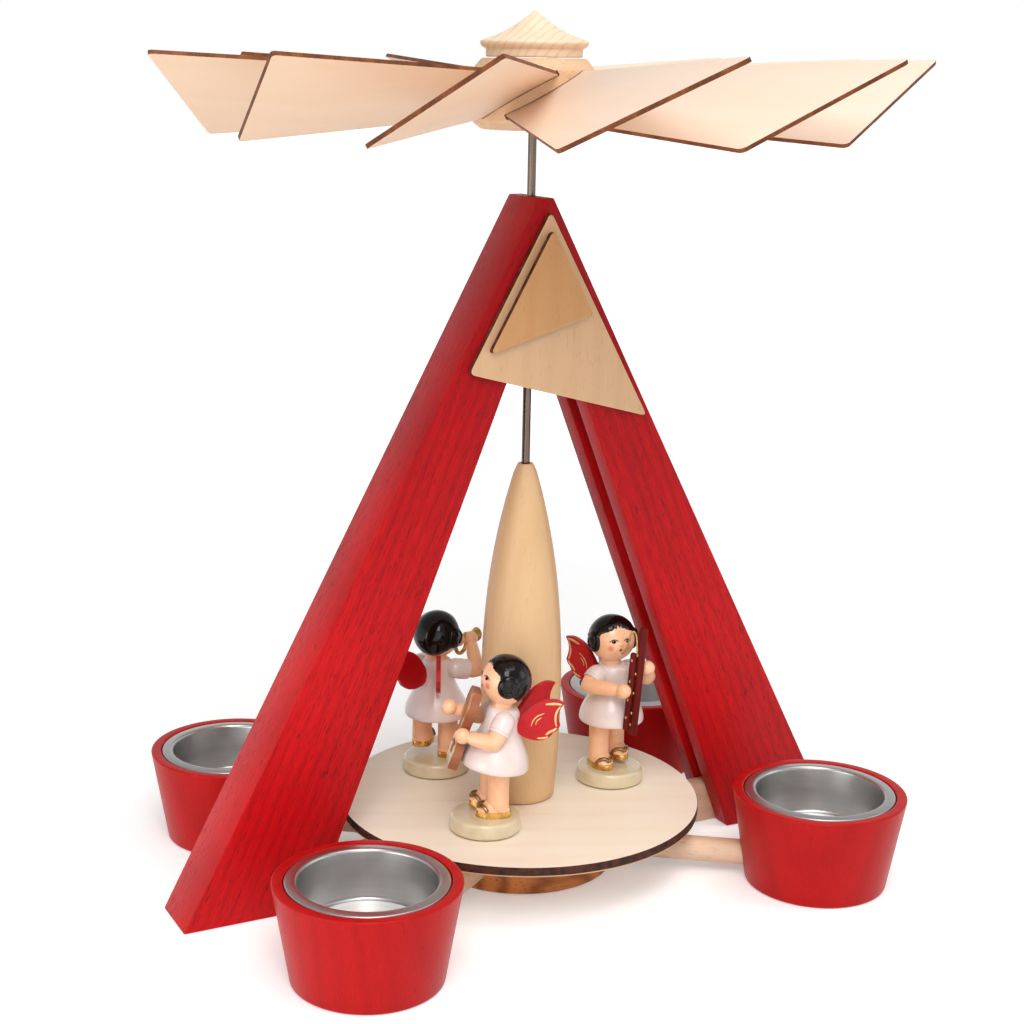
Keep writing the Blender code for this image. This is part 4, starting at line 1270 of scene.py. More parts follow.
@dataclass
class Carousel:
    """The steel shaft, the round turntable and the bullet-shaped sleeve."""

    shaft: tuple[Point, ...] = (
        (0.0, 0.2477), (0.001, 0.2477), (0.0013, 0.2474), (0.0013, 0.0163), (0.0003, 0.0133), (0.0, 0.0133),
    )
    table: tuple[Point, ...] = (
        (0.0016, 0.0215), (0.05767, 0.0215), (0.05785, 0.02132), (0.05785, 0.019), (0.05773, 0.0189),
        (0.05773, 0.01868), (0.05767, 0.0185), (0.0016, 0.0185),
    )
    table_bands: tuple[int, ...] = (0, 1, 1, 1, 2, 2, 0, 1)
    table_grain: float = radians(-24)
    bore: float = 0.0016
    sleeve_bottom: float = 0.0218
    sleeve_height: float = 0.1093
    sleeve_top_radius: float = 0.0028
    sleeve_top_edge: float = 0.0004
    sleeve_foot_edge: float = 0.0005
    belly_radius: float = 0.0128
    belly_height: float = 0.0355
    base_radius: float = 0.0113
    nose_power: float = 2.3
    foot_power: float = 2.0
    sleeve_rows: int = 44

    def build(self) -> None:
        """Make every piece."""
        self.build_shaft()
        self.build_table()
        self.build_sleeve()

    def build_shaft(self) -> None:
        """Turn the shaft with its point."""
        cage = Cage()
        cage.lathe(self.shaft, Sides.ROD)
        fit(cage.piece("shaft_look", [SHAFT_STEEL]), Body.CAROUSEL, None, ["shaft"])

    def build_table(self) -> None:
        """Saw the turntable, with the burnt edge and its pale lower ply."""
        cage = Cage()
        cage.lathe(self.table, Sides.TABLE, bands=self.table_bands, ring=True)
        matrix = Matrix.Rotation(self.table_grain, 4, "Z")
        piece = cage.piece("turntable_look", [PALE_PLY, BURNT_TABLE, GABLE_PLY])
        fit(piece, Body.CAROUSEL, matrix, ["turntable"])

    def sleeve_radius(self, height: float) -> float:
        """Find the outer radius of the sleeve.

        Args:
            height: above the sleeve's foot.

        Returns:
            The radius.
        """
        rise = height - self.belly_height
        if rise > 0:
            share = rise / (self.sleeve_height - self.belly_height)
            return self.belly_radius - (self.belly_radius - self.sleeve_top_radius) * share**self.nose_power
        share = -rise / self.belly_height
        return self.belly_radius - (self.belly_radius - self.base_radius) * share**self.foot_power

    def build_sleeve(self) -> None:
        """Turn the sleeve."""
        low, high = self.sleeve_bottom, self.sleeve_bottom + self.sleeve_height
        heights = [self.sleeve_height * (1 - k / self.sleeve_rows) for k in range(self.sleeve_rows + 1)]
        outside = [(self.sleeve_radius(height), low + height) for height in heights]
        outside[0] = (outside[0][0] - self.sleeve_top_edge, outside[0][1])
        outside[-1] = (self.base_radius, low + self.sleeve_foot_edge)
        outside.append((self.base_radius - self.sleeve_foot_edge, low))
        cage = Cage()
        cage.lathe([(self.bore, high)] + outside + [(self.bore, low)], Sides.SLEEVE, ring=True)
        sleeve = cage.piece("spindle_sleeve_look", [SLEEVE_MAPLE])
        fit(sleeve, Body.CAROUSEL, None, ["spindle_sleeve"])


@dataclass
class BladeWheel:
    """The turned hub with its pointed cap and the ring of pitched blades."""

    hub_radius: float = 0.01825
    hub: tuple[Point, ...] = (
        (0.0, 0.2533), (0.0155, 0.2533), (0.01825, 0.25), (0.01825, 0.235), (0.0155, 0.2327),
        (0.0016, 0.2327), (0.0016, 0.248), (0.0, 0.248),
    )
    hub_edge: float = 0.0009
    neck_radius: float = 0.0143
    neck_bottom: float = 0.2536
    brim_bottom: float = 0.2560
    brim_radius: float = 0.016
    brim: tuple[Point, ...] = ((0.0161, 0.2574), (0.0153, 0.2564))
    brim_edge: float = 0.0005
    eave: float = 0.2583
    tip: float = 0.2671
    roof_hollow: float = 0.0012
    roof_rows: int = 14
    blade_count: int = 12
    blade_height: float = 0.2435
    blade_tilt: float = radians(29.2)
    blade_first: float = radians(259.1)
    blade_thickness: float = 0.00125
    blade_corners: tuple[Point, ...] = (
        (0.0115, 0.0115), (0.0115, -0.0137), (0.0934, -0.0260), (0.1153, 0.0212),
    )
    blade_round: float = 0.0013
    blade_edge: float = 0.00015
    slot_gap: float = 0.00022
    slot_reach: float = 1.02

    def build(self) -> None:
        """Make every piece."""
        self.build_hub()
        self.build_cap()
        for index in range(self.blade_count):
            self.build_blade(index)

    def blade_place(self, index: int) -> Matrix:
        """Find where a blade of the ring stands.

        Args:
            index: its place in the ring.

        Returns:
            The matrix, with the blade along X.
        """
        turn = self.blade_first + index * 2 * pi / self.blade_count
        return (
            Matrix.Translation((0.0, 0.0, self.blade_height))
            @ Matrix.Rotation(turn, 4, "Z")
            @ Matrix.Rotation(self.blade_tilt, 4, "X")
        )

    def build_hub(self) -> None:
        """Turn the hub with its bore, and cut the slots for the blades."""
        cage = Cage()
        cage.lathe(rounded(self.hub, self.hub_edge, closed=False), Sides.HUB)
        hub = cage.piece("wheel_hub_look", [WHEEL_MAPLE])
        slots = Cage()
        gap = self.slot_gap
        grown = [(x - gap if x < self.hub_radius else x, y * self.slot_reach) for x, y in self.blade_corners]
        for index in range(self.blade_count):
            slots.slab(grown, self.blade_thickness + 2 * gap, 0.0, self.blade_place(index))
        carve(hub, slots.piece("hub_slots_cutter", [WHEEL_MAPLE]))
        fit(hub, Body.WHEEL, None, ["wheel_hub"])

    def build_cap(self) -> None:
        """Turn the cap with its neck, its rounded brim and its hollow roof."""
        roof = []
        for k in range(self.roof_rows + 1):
            share = k / self.roof_rows
            hollow = self.roof_hollow * sin(pi * share)
            height = self.eave + (self.tip - self.eave) * (1 - share) - hollow
            roof.append((self.brim_radius * share, height))
        neck, low = self.neck_radius, self.neck_bottom
        brim = [*roof[-2:], *self.brim, (neck, self.brim_bottom), (neck, low), (0.0, low)]
        cage = Cage()
        cage.lathe(roof[:-1] + rounded(brim, self.brim_edge, steps=3, closed=False)[1:], Sides.HUB)
        fit(cage.piece("wheel_cap_look", [WHEEL_PINE]), Body.WHEEL, None, ["wheel_cap"])

    def build_blade(self, index: int) -> None:
        """Saw one blade with its charred edges, and its lower face in a warmer copy of the ply that paints
        in bounce light.

        Args:
            index: its place in the ring.
        """
        outline = rounded(self.blade_corners, self.blade_round)
        cage = Cage()
        cage.slab(outline, self.blade_thickness, self.blade_edge, rim=1, under=2)
        node = f"blade_{index + 1:02d}"
        blade = cage.piece(node + "_look", [BLADE_PLY, BURNT_PLY, BOUNCE_LIT_UNDER_PLY])
        fit(blade, Body.WHEEL, self.blade_place(index), [node])


@dataclass
class Pose:
    """How an angel stands and holds its arms; a foot is (x, y, lift) and a wing (flare, lift)."""

    name: str
    instrument: Instrument
    azimuth: float
    ring_radius: float
    facing: float
    lean: float
    stand_back: float
    torso_drop: float
    head_forward: float
    head_turn: float
    left_foot: Spot
    right_foot: Spot
    left_wing: Point
    right_wing: Point
    left_elbow: Spot
    left_hand: Spot
    right_elbow: Spot
    right_hand: Spot


POSES = (
    Pose(
        name="fiddle_angel", instrument=Instrument.FIDDLE, azimuth=radians(222.5), ring_radius=0.031,
        facing=radians(158), lean=radians(8), stand_back=0.0025, torso_drop=0.0, head_forward=0.0007,
        head_turn=11.0, left_foot=(-0.0037, 0.0021, 0.0), right_foot=(-0.0020, -0.0049, 0.0006),
        left_wing=(radians(19.3), 0.0), right_wing=(radians(34), 0.0010),
        left_elbow=(0.0024, 0.0088, 0.0304), left_hand=(0.0118, 0.0056, 0.0306),
        right_elbow=(0.0060, -0.0090, 0.0325), right_hand=(0.0158, -0.0058, 0.0353),
    ),
    Pose(
        name="bassoon_angel", instrument=Instrument.BASSOON, azimuth=radians(357.3), ring_radius=0.0332,
        facing=radians(274), lean=0.0, stand_back=0.0, torso_drop=0.0, head_forward=-0.0010,
        head_turn=-11.0, left_foot=(-0.0037, 0.0040, 0.0014), right_foot=(-0.0014, -0.0036, 0.0),
        left_wing=(radians(19.3), 0.0), right_wing=(radians(19.3), 0.0),
        left_elbow=(0.0070, 0.0090, 0.0355), left_hand=(0.0113, 0.0056, 0.0406),
        right_elbow=(0.0008, -0.0102, 0.0340), right_hand=(0.0120, -0.0040, 0.0345),
    ),
    Pose(
        name="trumpet_angel", instrument=Instrument.TRUMPET, azimuth=radians(117.5), ring_radius=0.0337,
        facing=radians(45), lean=0.0, stand_back=0.0, torso_drop=0.0012, head_forward=0.0,
        head_turn=-22.0, left_foot=(0.0008, 0.0053, 0.0028), right_foot=(0.0014, -0.0036, 0.0),
        left_wing=(radians(28), 0.0), right_wing=(radians(19.3), 0.0),
        left_elbow=(0.0085, 0.0075, 0.0355), left_hand=(0.01116, -0.00325, 0.04328),
        right_elbow=(0.0060, -0.0120, 0.0352), right_hand=(0.01416, -0.00685, 0.04318),
    ),
)


@dataclass
class Angel:
    """A small turned angel on its plinth, which carries its hair, face, wings and instrument."""

    pose: Pose
    table_top: float = 0.0218
    plinth_radius: float = 0.0112
    plinth_top_radius: float = 0.0107
    plinth_height: float = 0.0048
    plinth_edge: float = 0.0011
    leg_radius: float = 0.0034
    leg_stations: tuple[Point, ...] = ((0.0, 0.94), (0.0006, 1.0), (0.003, 0.99), (0.007, 0.97))
    hip_depth: float = 0.001
    sole_gap: float = 0.0001
    sole_height: float = 0.0019
    sole_half_width: float = 0.0033
    sole: tuple[Point, ...] = ((-0.0039, 0.7), (-0.001, 1.0), (0.0035, 1.0), (0.0069, 0.42))
    sole_round: float = 0.0013
    sole_edge: float = 0.00025
    foot_rows: tuple[Spot, ...] = (
        (-0.0034, 0.0019, 0.0012), (-0.0018, 0.0030, 0.0024), (0.0010, 0.0033, 0.0036),
        (0.0028, 0.0032, 0.0036), (0.0038, 0.0030, 0.0028), (0.0046, 0.0027, 0.0020),
        (0.0053, 0.0023, 0.0014), (0.0060, 0.0017, 0.0009), (0.0064, 0.0010, 0.0005),
    )
    foot_steps: int = 14
    foot_sink: float = 0.0002
    foot_ends: Point = (-0.0036, 0.0067)
    thong: tuple[Spot, ...] = (
        (0.0063, 0.0, 0.0010), (0.0055, 0.0009, 0.0017), (0.0044, 0.0022, 0.0015), (0.0034, 0.0032, 0.0002),
    )
    thong_girth: Spot = (0.0004, 0.00062, 0.0005)
    hem_height: float = 0.0207
    hem_radius: float = 0.0106
    hem_roll: float = 0.0007
    hem: tuple[Point, ...] = (
        (0.00006, 0.00035), (0.00022, 0.0001), (0.0005, 0.0), (0.0014, 0.0002), (0.0017, 0.0026),
    )
    hem_hollow: float = 0.003
    waist_height: float = 0.036
    chest_radius: float = 0.0054
    collar_radius: float = 0.0036
    collar_powers: Point = (0.9, 0.8)
    collar_rows: int = 7
    collar_step: float = 12.0
    skirt_rows: int = 26
    skirt_power: float = 1.05
    dress_top: float = 0.0398
    head_radius: float = 0.0075
    head_height: float = 0.048083
    head_rows: int = 30
    neck_radius: float = 0.0032
    neck_sink: float = 0.0008
    nose_rise: float = 1.0
    nose: Spot = (0.0006, 0.0006, 0.0005)
    cheek_turn: float = 26.0
    cheek_rise: float = -10.0
    face_coat: float = 0.5
    shoulder_offset: float = 0.0060
    shoulder_height: float = 0.0370
    upper_arm_radius: float = 0.0029
    elbow_radius: float = 0.0026
    elbow_swell: float = 1.03
    elbow_ease: float = 0.0016
    elbow_ease_share: float = 0.3
    elbow_round: float = 0.45
    wrist_radius: float = 0.0021
    wrist_back: float = 1.25
    wrist_share: float = 0.45
    hand_radius: float = 0.0025
    hand_steps: tuple[float, ...] = (-50.0, -30.0, -10.0, 10.0, 30.0, 50.0, 68.0, 80.0)
    sleeve_radius: float = 0.0033
    sleeve_share: float = 0.58
    sleeve_swell: float = 1.04
    sleeve_top: tuple[Point, ...] = (
        (-0.0030, 0.0), (-0.0027, 0.42), (-0.0020, 0.72), (-0.0010, 0.92), (0.0, 1.0),
    )
    cuff: tuple[Point, ...] = (
        (0.0011, 1.02), (0.00095, 0.965), (0.0008, 0.965), (0.00065, 1.0), (0.00015, 0.99), (0.0, 0.93),
        (0.0002, 0.80),
    )

    def __post_init__(self) -> None:
        """Find the place of the plinth and of the leaning upper part."""
        pose = self.pose
        x, y = pose.ring_radius * cos(pose.azimuth), pose.ring_radius * sin(pose.azimuth)
        self.root = Matrix.Translation((x, y, self.table_top)) @ Matrix.Rotation(pose.facing, 4, "Z")
        pivot = Matrix.Translation((-pose.stand_back, 0.0, self.hem_height - pose.torso_drop))
        drop = Matrix.Translation((0.0, 0.0, -self.hem_height))
        self.torso = self.root @ pivot @ Matrix.Rotation(-pose.lean, 4, "Y") @ drop

    def build(self) -> None:
        """Make every piece of the figure."""
        self.build_plinth()
        self.build_legs()
        self.build_sandals()
        self.build_dress()
        self.build_head()
        Hair().build(self)
        Face().build(self)
        self.build_arm("left", Side.LEFT, self.pose.left_elbow, self.pose.left_hand)
        self.build_arm("right", Side.RIGHT, self.pose.right_elbow, self.pose.right_hand)
        Wings().build(self)
        makers = {Instrument.FIDDLE: Fiddle, Instrument.BASSOON: Bassoon, Instrument.TRUMPET: Trumpet}
        makers[self.pose.instrument]().build(self)

    def add(
        self, cage: Cage, part: str, finishes: Sequence[Finish], slot: str, matrix: Matrix,
        stands_for: str = "",
    ) -> None:
        """Fit a piece of the figure on the carousel.

        Args:
            cage: its mesh.
            part: what it is.
            finishes: of its faces.
            slot: material slot of the record; not used.
            matrix: its place.
            stands_for: the node that it replaces, without the figure's name.
        """
        nodes = [f"{self.pose.name}_{stands_for}"] if stands_for else []
        fit(cage.piece(f"{self.pose.name}_{part}_look", finishes), Body.CAROUSEL, matrix, nodes)

    def build_plinth(self) -> None:
        """Turn the round plinth."""
        top = self.plinth_height
        profile = [(0.0, top), (self.plinth_top_radius, top), (self.plinth_radius, 0.0), (0.0, 0.0)]
        cage = Cage()
        cage.lathe(rounded(profile, self.plinth_edge, steps=5, closed=False), Sides.HEAD)
        self.add(cage, "plinth", [PLINTH_LACQUER], "plinth_lacquer", self.root, "plinth")

    def feet(self) -> list[Vector]:
        """List where the undersides of the two soles are."""
        rest = self.plinth_height + self.sole_gap
        return [Vector((x, y, rest + rise)) for x, y, rise in (self.pose.left_foot, self.pose.right_foot)]

    def build_legs(self) -> None:
        """Make the legs with their feet."""
        cage = Cage()
        angles = [pi * k / self.foot_steps for k in range(self.foot_steps + 1)]
        for foot in self.feet():
            base = foot.z + self.sole_height
            hip = self.hem_height + self.hip_depth - self.pose.torso_drop - base
            stations = [*self.leg_stations, (hip, 1.0)]
            spots = [(foot.x, foot.y, base + rise) for rise, _ in stations]
            cage.sweep(spots, [self.leg_radius * share for _, share in stations], Sides.ARM)
            place = Matrix.Translation((foot.x, foot.y, base))
            heel, toe = [[place @ Vector((x, 0.0, 0.0))] for x in self.foot_ends]
            rows = [heel]
            for ahead, width, rise in self.foot_rows:
                arch = [(ahead, width * cos(a), rise * sin(a) - self.foot_sink) for a in angles]
                rows.append([place @ Vector(spot) for spot in arch])
            cage.grid(rows + [toe], False)
        self.add(cage, "legs", [SKIN_LACQUER], "skin_lacquer", self.root, "legs")

    def build_sandals(self) -> None:
        """Saw the gold soles and lay the straps over the feet."""
        half = self.sole_half_width
        outline = [(x, -half * share) for x, share in self.sole]
        outline += [(x, half * share) for x, share in reversed(self.sole)]
        soles, straps = Cage(), Cage()
        for foot in self.feet():
            shift = Matrix.Translation((foot.x, foot.y, foot.z + self.sole_height / 2))
            soles.slab(rounded(outline, self.sole_round, steps=5), self.sole_height, self.sole_edge, shift)
            place = Matrix.Translation((foot.x, foot.y, foot.z + self.sole_height))
            for way in (-1, 1):
                line = smooth_line([(x, way * y, z) for x, y, z in self.thong], steps=4)
                first, middle, last = self.thong_girth
                girth = [first] + [middle] * (len(line) - 2) + [last]
                straps.sweep([place @ spot for spot in line], girth, Sides.STRAP)
        self.add(soles, "sandals", [SANDAL_GOLD], "gold_paint", self.root)
        self.add(straps, "sandal_straps", [STRAP_GOLD], "gold_paint", self.root)

    def build_dress(self) -> None:
        """Turn the bell-shaped dress with its collar and rolled hem."""
        profile: list[Point] = [(0.0, self.dress_top)]
        rise, spread = self.dress_top - self.waist_height, self.chest_radius - self.collar_radius
        out_power, up_power = self.collar_powers
        for k in range(self.collar_rows):
            angle = radians(90 - self.collar_step * k)
            radius = self.collar_radius + spread * cos(angle) ** out_power
            profile.append((radius, self.waist_height + rise * sin(angle) ** up_power))
        fall = self.hem_height + self.hem_roll - self.waist_height
        for k in range(self.skirt_rows + 1):
            share = k / self.skirt_rows
            swell = (1 - cos(pi * share**self.skirt_power)) / 2
            radius = self.chest_radius + (self.hem_radius - self.chest_radius) * swell
            profile.append((radius, self.waist_height + fall * share))
        profile += [(self.hem_radius - inward, self.hem_height + up) for inward, up in self.hem]
        profile.append((0.0, self.hem_height + self.hem_hollow))
        cage = Cage()
        cage.lathe(profile, Sides.SLEEVE)
        self.add(cage, "dress", [WHITE_LACQUER], "white_lacquer", self.torso, "dress")

    def on_head(self, turn: float, rise: float, out: float = 0.0) -> Vector:
        """Find a place on the head.

        Args:
            turn: degrees to the left of where the face looks.
            rise: degrees above its middle.
            out: distance off the surface.

        Returns:
            The place, in the figure's axes.
        """
        around, above = radians(turn + self.pose.head_turn), radians(rise)
        radius = self.head_radius + out
        x = radius * cos(above) * cos(around) + self.pose.head_forward
        y = radius * cos(above) * sin(around)
        return Vector((x, y, self.head_height + radius * sin(above)))

    def build_head(self) -> None:
        """Turn the head with its short neck, and dab its cheeks."""
        radius, height = self.head_radius, self.head_height
        low = -degrees(acos(self.neck_radius / radius))
        profile: list[Point] = [(0.0, height + radius)]
        for k in range(1, self.head_rows + 1):
            angle = radians(90 + (low - 90) * k / self.head_rows)
            profile.append((radius * cos(angle), height + radius * sin(angle)))
        foot = self.dress_top - self.neck_sink
        profile += [(self.neck_radius, foot), (0.0, foot)]
        cage = Cage()
        cage.lathe(profile, Sides.HEAD, Matrix.Translation((self.pose.head_forward, 0.0, 0.0)))
        cage.ball(self.on_head(0, self.nose_rise), self.nose)
        turns = (-self.cheek_turn, self.cheek_turn)
        face = FaceLacquer(
            self.pose.name + "_face_lacquer", SKIN_LACQUER.colour, SKIN_LACQUER.shade, coat=self.face_coat,
            cheeks=tuple(tuple(self.on_head(turn, self.cheek_rise)) for turn in turns),
        )
        self.add(cage, "head", [face], "head_lacquer", self.torso, "head")

    def build_arm(self, label: str, side: Side, elbow: Spot, hand: Spot) -> None:
        """Make one bent arm with its round hand, and the short sleeve over it.

        Args:
            label: left or right.
            side: of the figure.
            elbow: corner of the arm.
            hand: middle of the hand.
        """
        shoulder = Vector((0.0, side.value * self.shoulder_offset, self.shoulder_height))
        bend, grip = Vector(elbow), Vector(hand)
        down, ahead = (bend - shoulder).normalized(), (grip - bend).normalized()
        radius, reach = self.hand_radius, (grip - bend).length
        ease = min(self.elbow_ease, reach * self.elbow_ease_share)
        before, after = bend - down * ease, bend + ahead * ease
        corner = bend.lerp((before + after) / 2, self.elbow_round)
        wrist = bend + ahead * max(reach - radius * self.wrist_back, reach * self.wrist_share)
        spots = [shoulder, before, corner, after, wrist]
        joint = self.elbow_radius
        radii = [self.upper_arm_radius, joint * self.elbow_swell, joint, joint, self.wrist_radius]
        for step in self.hand_steps:
            angle = radians(step)
            spots.append(grip + ahead * (radius * sin(angle)))
            radii.append(radius * cos(angle))
        spots.append(grip + ahead * radius)
        radii.append(0.0)
        cage = Cage()
        cage.sweep(spots, radii, Sides.LIMB)
        self.add(cage, label + "_arm", [SKIN_LACQUER], "skin_lacquer", self.torso, label + "_arm")

        length = (bend - shoulder).length * self.sleeve_share
        stations = [*self.sleeve_top, (length / 2, self.sleeve_swell)]
        stations += [(length - back, share) for back, share in self.cuff]
        sleeve = Cage()
        place = axes(down.orthogonal(), down, shoulder)
        full = self.sleeve_radius
        sleeve.lathe([(full * share, step) for step, share in stations], Sides.ARM, place)
        self.add(sleeve, label + "_sleeve", [WHITE_LACQUER], "white_lacquer", self.torso)


@dataclass(frozen=True)
class Hair:
    """The smooth cap of black hair with its fringe, and a round curl over each ear."""

    line: tuple[Point, ...] = (
        (0, 41), (15, 40), (26, 32), (40, 27), (54, 21), (60, 6), (64, -10), (71, -23), (83, -30), (96, -33),
        (110, -41), (130, -55), (155, -64), (180, -66),
    )
    locks: tuple[Spot, ...] = ((-4, 9, 2.6), (7, 6, 2.2), (-11, -3, 3.0), (2, -3, 2.5), (13, -3, 3.0))
    columns: int = 144
    rows: int = 16
    thickness: float = 0.0005
    thin_power: int = 5
    tuck: float = 0.00018
    tuck_power: int = 10
    ear_turn: float = 81.0
    ear_sink: float = 0.0007
    ear: Spot = (0.0016, 0.0034, 0.0037)
    curl_steps: int = 30
    curl_start: float = 150.0
    curl_sweep: float = 420.0
    curl_reach: float = 0.80
    curl_close: float = 0.55
    curl_girth: float = 0.00042
    curl_taper: float = 0.08

    def low(self, turn: float) -> float:
        """Find the lowest hair at a turn from the face.

        Args:
            turn: degrees from where the head faces.

        Returns:
            Degrees above the head's middle.
        """
        reach = abs(turn)
        for (a, start), (b, end) in zip(self.line, self.line[1:]):
            if reach <= b:
                share = (reach - a) / (b - a)
                share = share * share * (3 - 2 * share)
                low = start + (end - start) * share
                break
        for middle, rise, width in self.locks:
            low += rise * exp(-(((turn - middle) / width) ** 2))
        return low

    def build(self, angel: Angel) -> None:
        """Shape the hair.

        Args:
            angel: that wears it.
        """
        skin = [[angel.on_head(0, 90, self.thickness)]]
        turns = [-180 + 360 * c / self.columns for c in range(self.columns)]
        for r in range(1, self.rows + 1):
            share = r / self.rows
            out = self.thickness * (1 - share**self.thin_power) - self.tuck * share**self.tuck_power
            skin.append([angel.on_head(turn, 90 + (self.low(turn) - 90) * share, out) for turn in turns])
        cage = Cage()
        cage.grid(skin, True)
        for side in Side:
            self.curl(cage, angel, side)
        angel.add(cage, "hair", [BLACK_LACQUER], "head_lacquer", angel.torso)

    def curl(self, cage: Cage, angel: Angel, side: Side) -> None:
        """Lay a round curl over an ear.

        Args:
            cage: mesh that takes it.
            angel: that wears it.
            side: of the ear.
        """
        turn = side.value * self.ear_turn
        spot = Matrix.Translation(angel.on_head(turn, 0, -self.ear_sink))
        facing = spot @ Matrix.Rotation(radians(turn + angel.pose.head_turn), 4, "Z")
        deep, wide, tall = self.ear
        cage.ball((0, 0, 0), self.ear, facing)
        curl, girth = [], []
        for k in range(self.curl_steps + 1):
            share = k / self.curl_steps
            angle = radians(self.curl_start - self.curl_sweep * share)
            reach = self.curl_reach - self.curl_close * share
            y, z = reach * cos(angle), reach * sin(angle)
            curl.append((deep * sqrt(1 - reach**2), side.value * -wide * y, tall * z))
            swell = sin(pi * (self.curl_taper + (1 - 2 * self.curl_taper) * share))
            girth.append(self.curl_girth * sqrt(swell))
        cage.sweep(curl, girth, Sides.STRAP, facing)


@dataclass(frozen=True)
class Dab:
    """An oval dab of paint on a head, with its height and half its size in degrees, and its thickness."""

    rise: float
    width: float
    height: float
    out: float
    steps: int = 24
    rings: tuple[Point, ...] = ((0.45, 1.0), (0.8, 0.8), (1.0, 0.0))

    def lay(self, cage: Cage, angel: Angel, turn: float) -> None:
        """Paint the dab.

        Args:
            cage: mesh that takes it.
            angel: whose head it is on.
            turn: degrees to the left of where the head faces.
        """
        rows = [[angel.on_head(turn, self.rise, self.out)]]
        for share, lift in self.rings:
            ring = []
            for k in range(self.steps):
                angle = 2 * pi * k / self.steps
                across, up = self.width * share * cos(angle), self.height * share * sin(angle)
                ring.append(angel.on_head(turn + across, self.rise + up, self.out * lift))
            rows.append(ring)
        cage.grid(rows, True)


@dataclass(frozen=True)
class Face:
    """The painted face: dot eyes with a glint under an arched lid, nostrils and a small mouth; the glint is
    a painted highlight.
    """

    eye: Dab = Dab(7.6, 5.4, 4.4, 0.00006)
    eye_turn: float = 19.0
    # Glint: a small white dab on each eye, a painted highlight standing for reflected light.
    glint: Dab = Dab(9.0, 0.9, 0.8, 0.0001)
    glint_turn: float = -1.8
    nostril: Dab = Dab(-1.2, 1.1, 0.8, 0.00006)
    nostril_turn: float = 2.6
    mouth: Dab = Dab(-14.5, 4.2, 3.8, 0.00008)
    lid_half: int = 12
    lid_step: int = 2
    lid_low: float = 5.6
    lid_rise: float = 7.4
    lid_bend: float = 6.4
    lid_droop: float = 0.13
    lid_out: float = 0.00003
    lid_girth: Point = (0.00004, 0.00017)

    def build(self, angel: Angel) -> None:
        """Paint the face.

        Args:
            angel: whose face it is.
        """
        eyes, glints, brows, mouth = Cage(), Cage(), Cage(), Cage()
        for side in Side:
            turn = side.value * self.eye_turn
            self.eye.lay(eyes, angel, turn)
            self.glint.lay(glints, angel, turn + self.glint_turn)
            lid = []
            for step in range(-self.lid_half, self.lid_half + 1, self.lid_step):
                arch = self.lid_low + self.lid_rise * cos(radians(step * self.lid_bend))
                arch -= self.lid_droop * side.value * step
                lid.append(angel.on_head(turn + step, arch, self.lid_out))
            thin, full = self.lid_girth
            brows.sweep(lid, [thin] + [full] * (len(lid) - 2) + [thin], Sides.THREAD)
            self.nostril.lay(brows, angel, side.value * self.nostril_turn)
        self.mouth.lay(mouth, angel, 0.0)
        for cage, part, finish in (
            (eyes, "eyes", EYE_LACQUER), (glints, "eye_glints", EYE_GLINT_HIGHLIGHT), (brows, "brows", BROW_PAINT),
            (mouth, "mouth", MOUTH_PAINT),
        ):
            angel.add(cage, part, [finish], "head_lacquer", angel.torso)


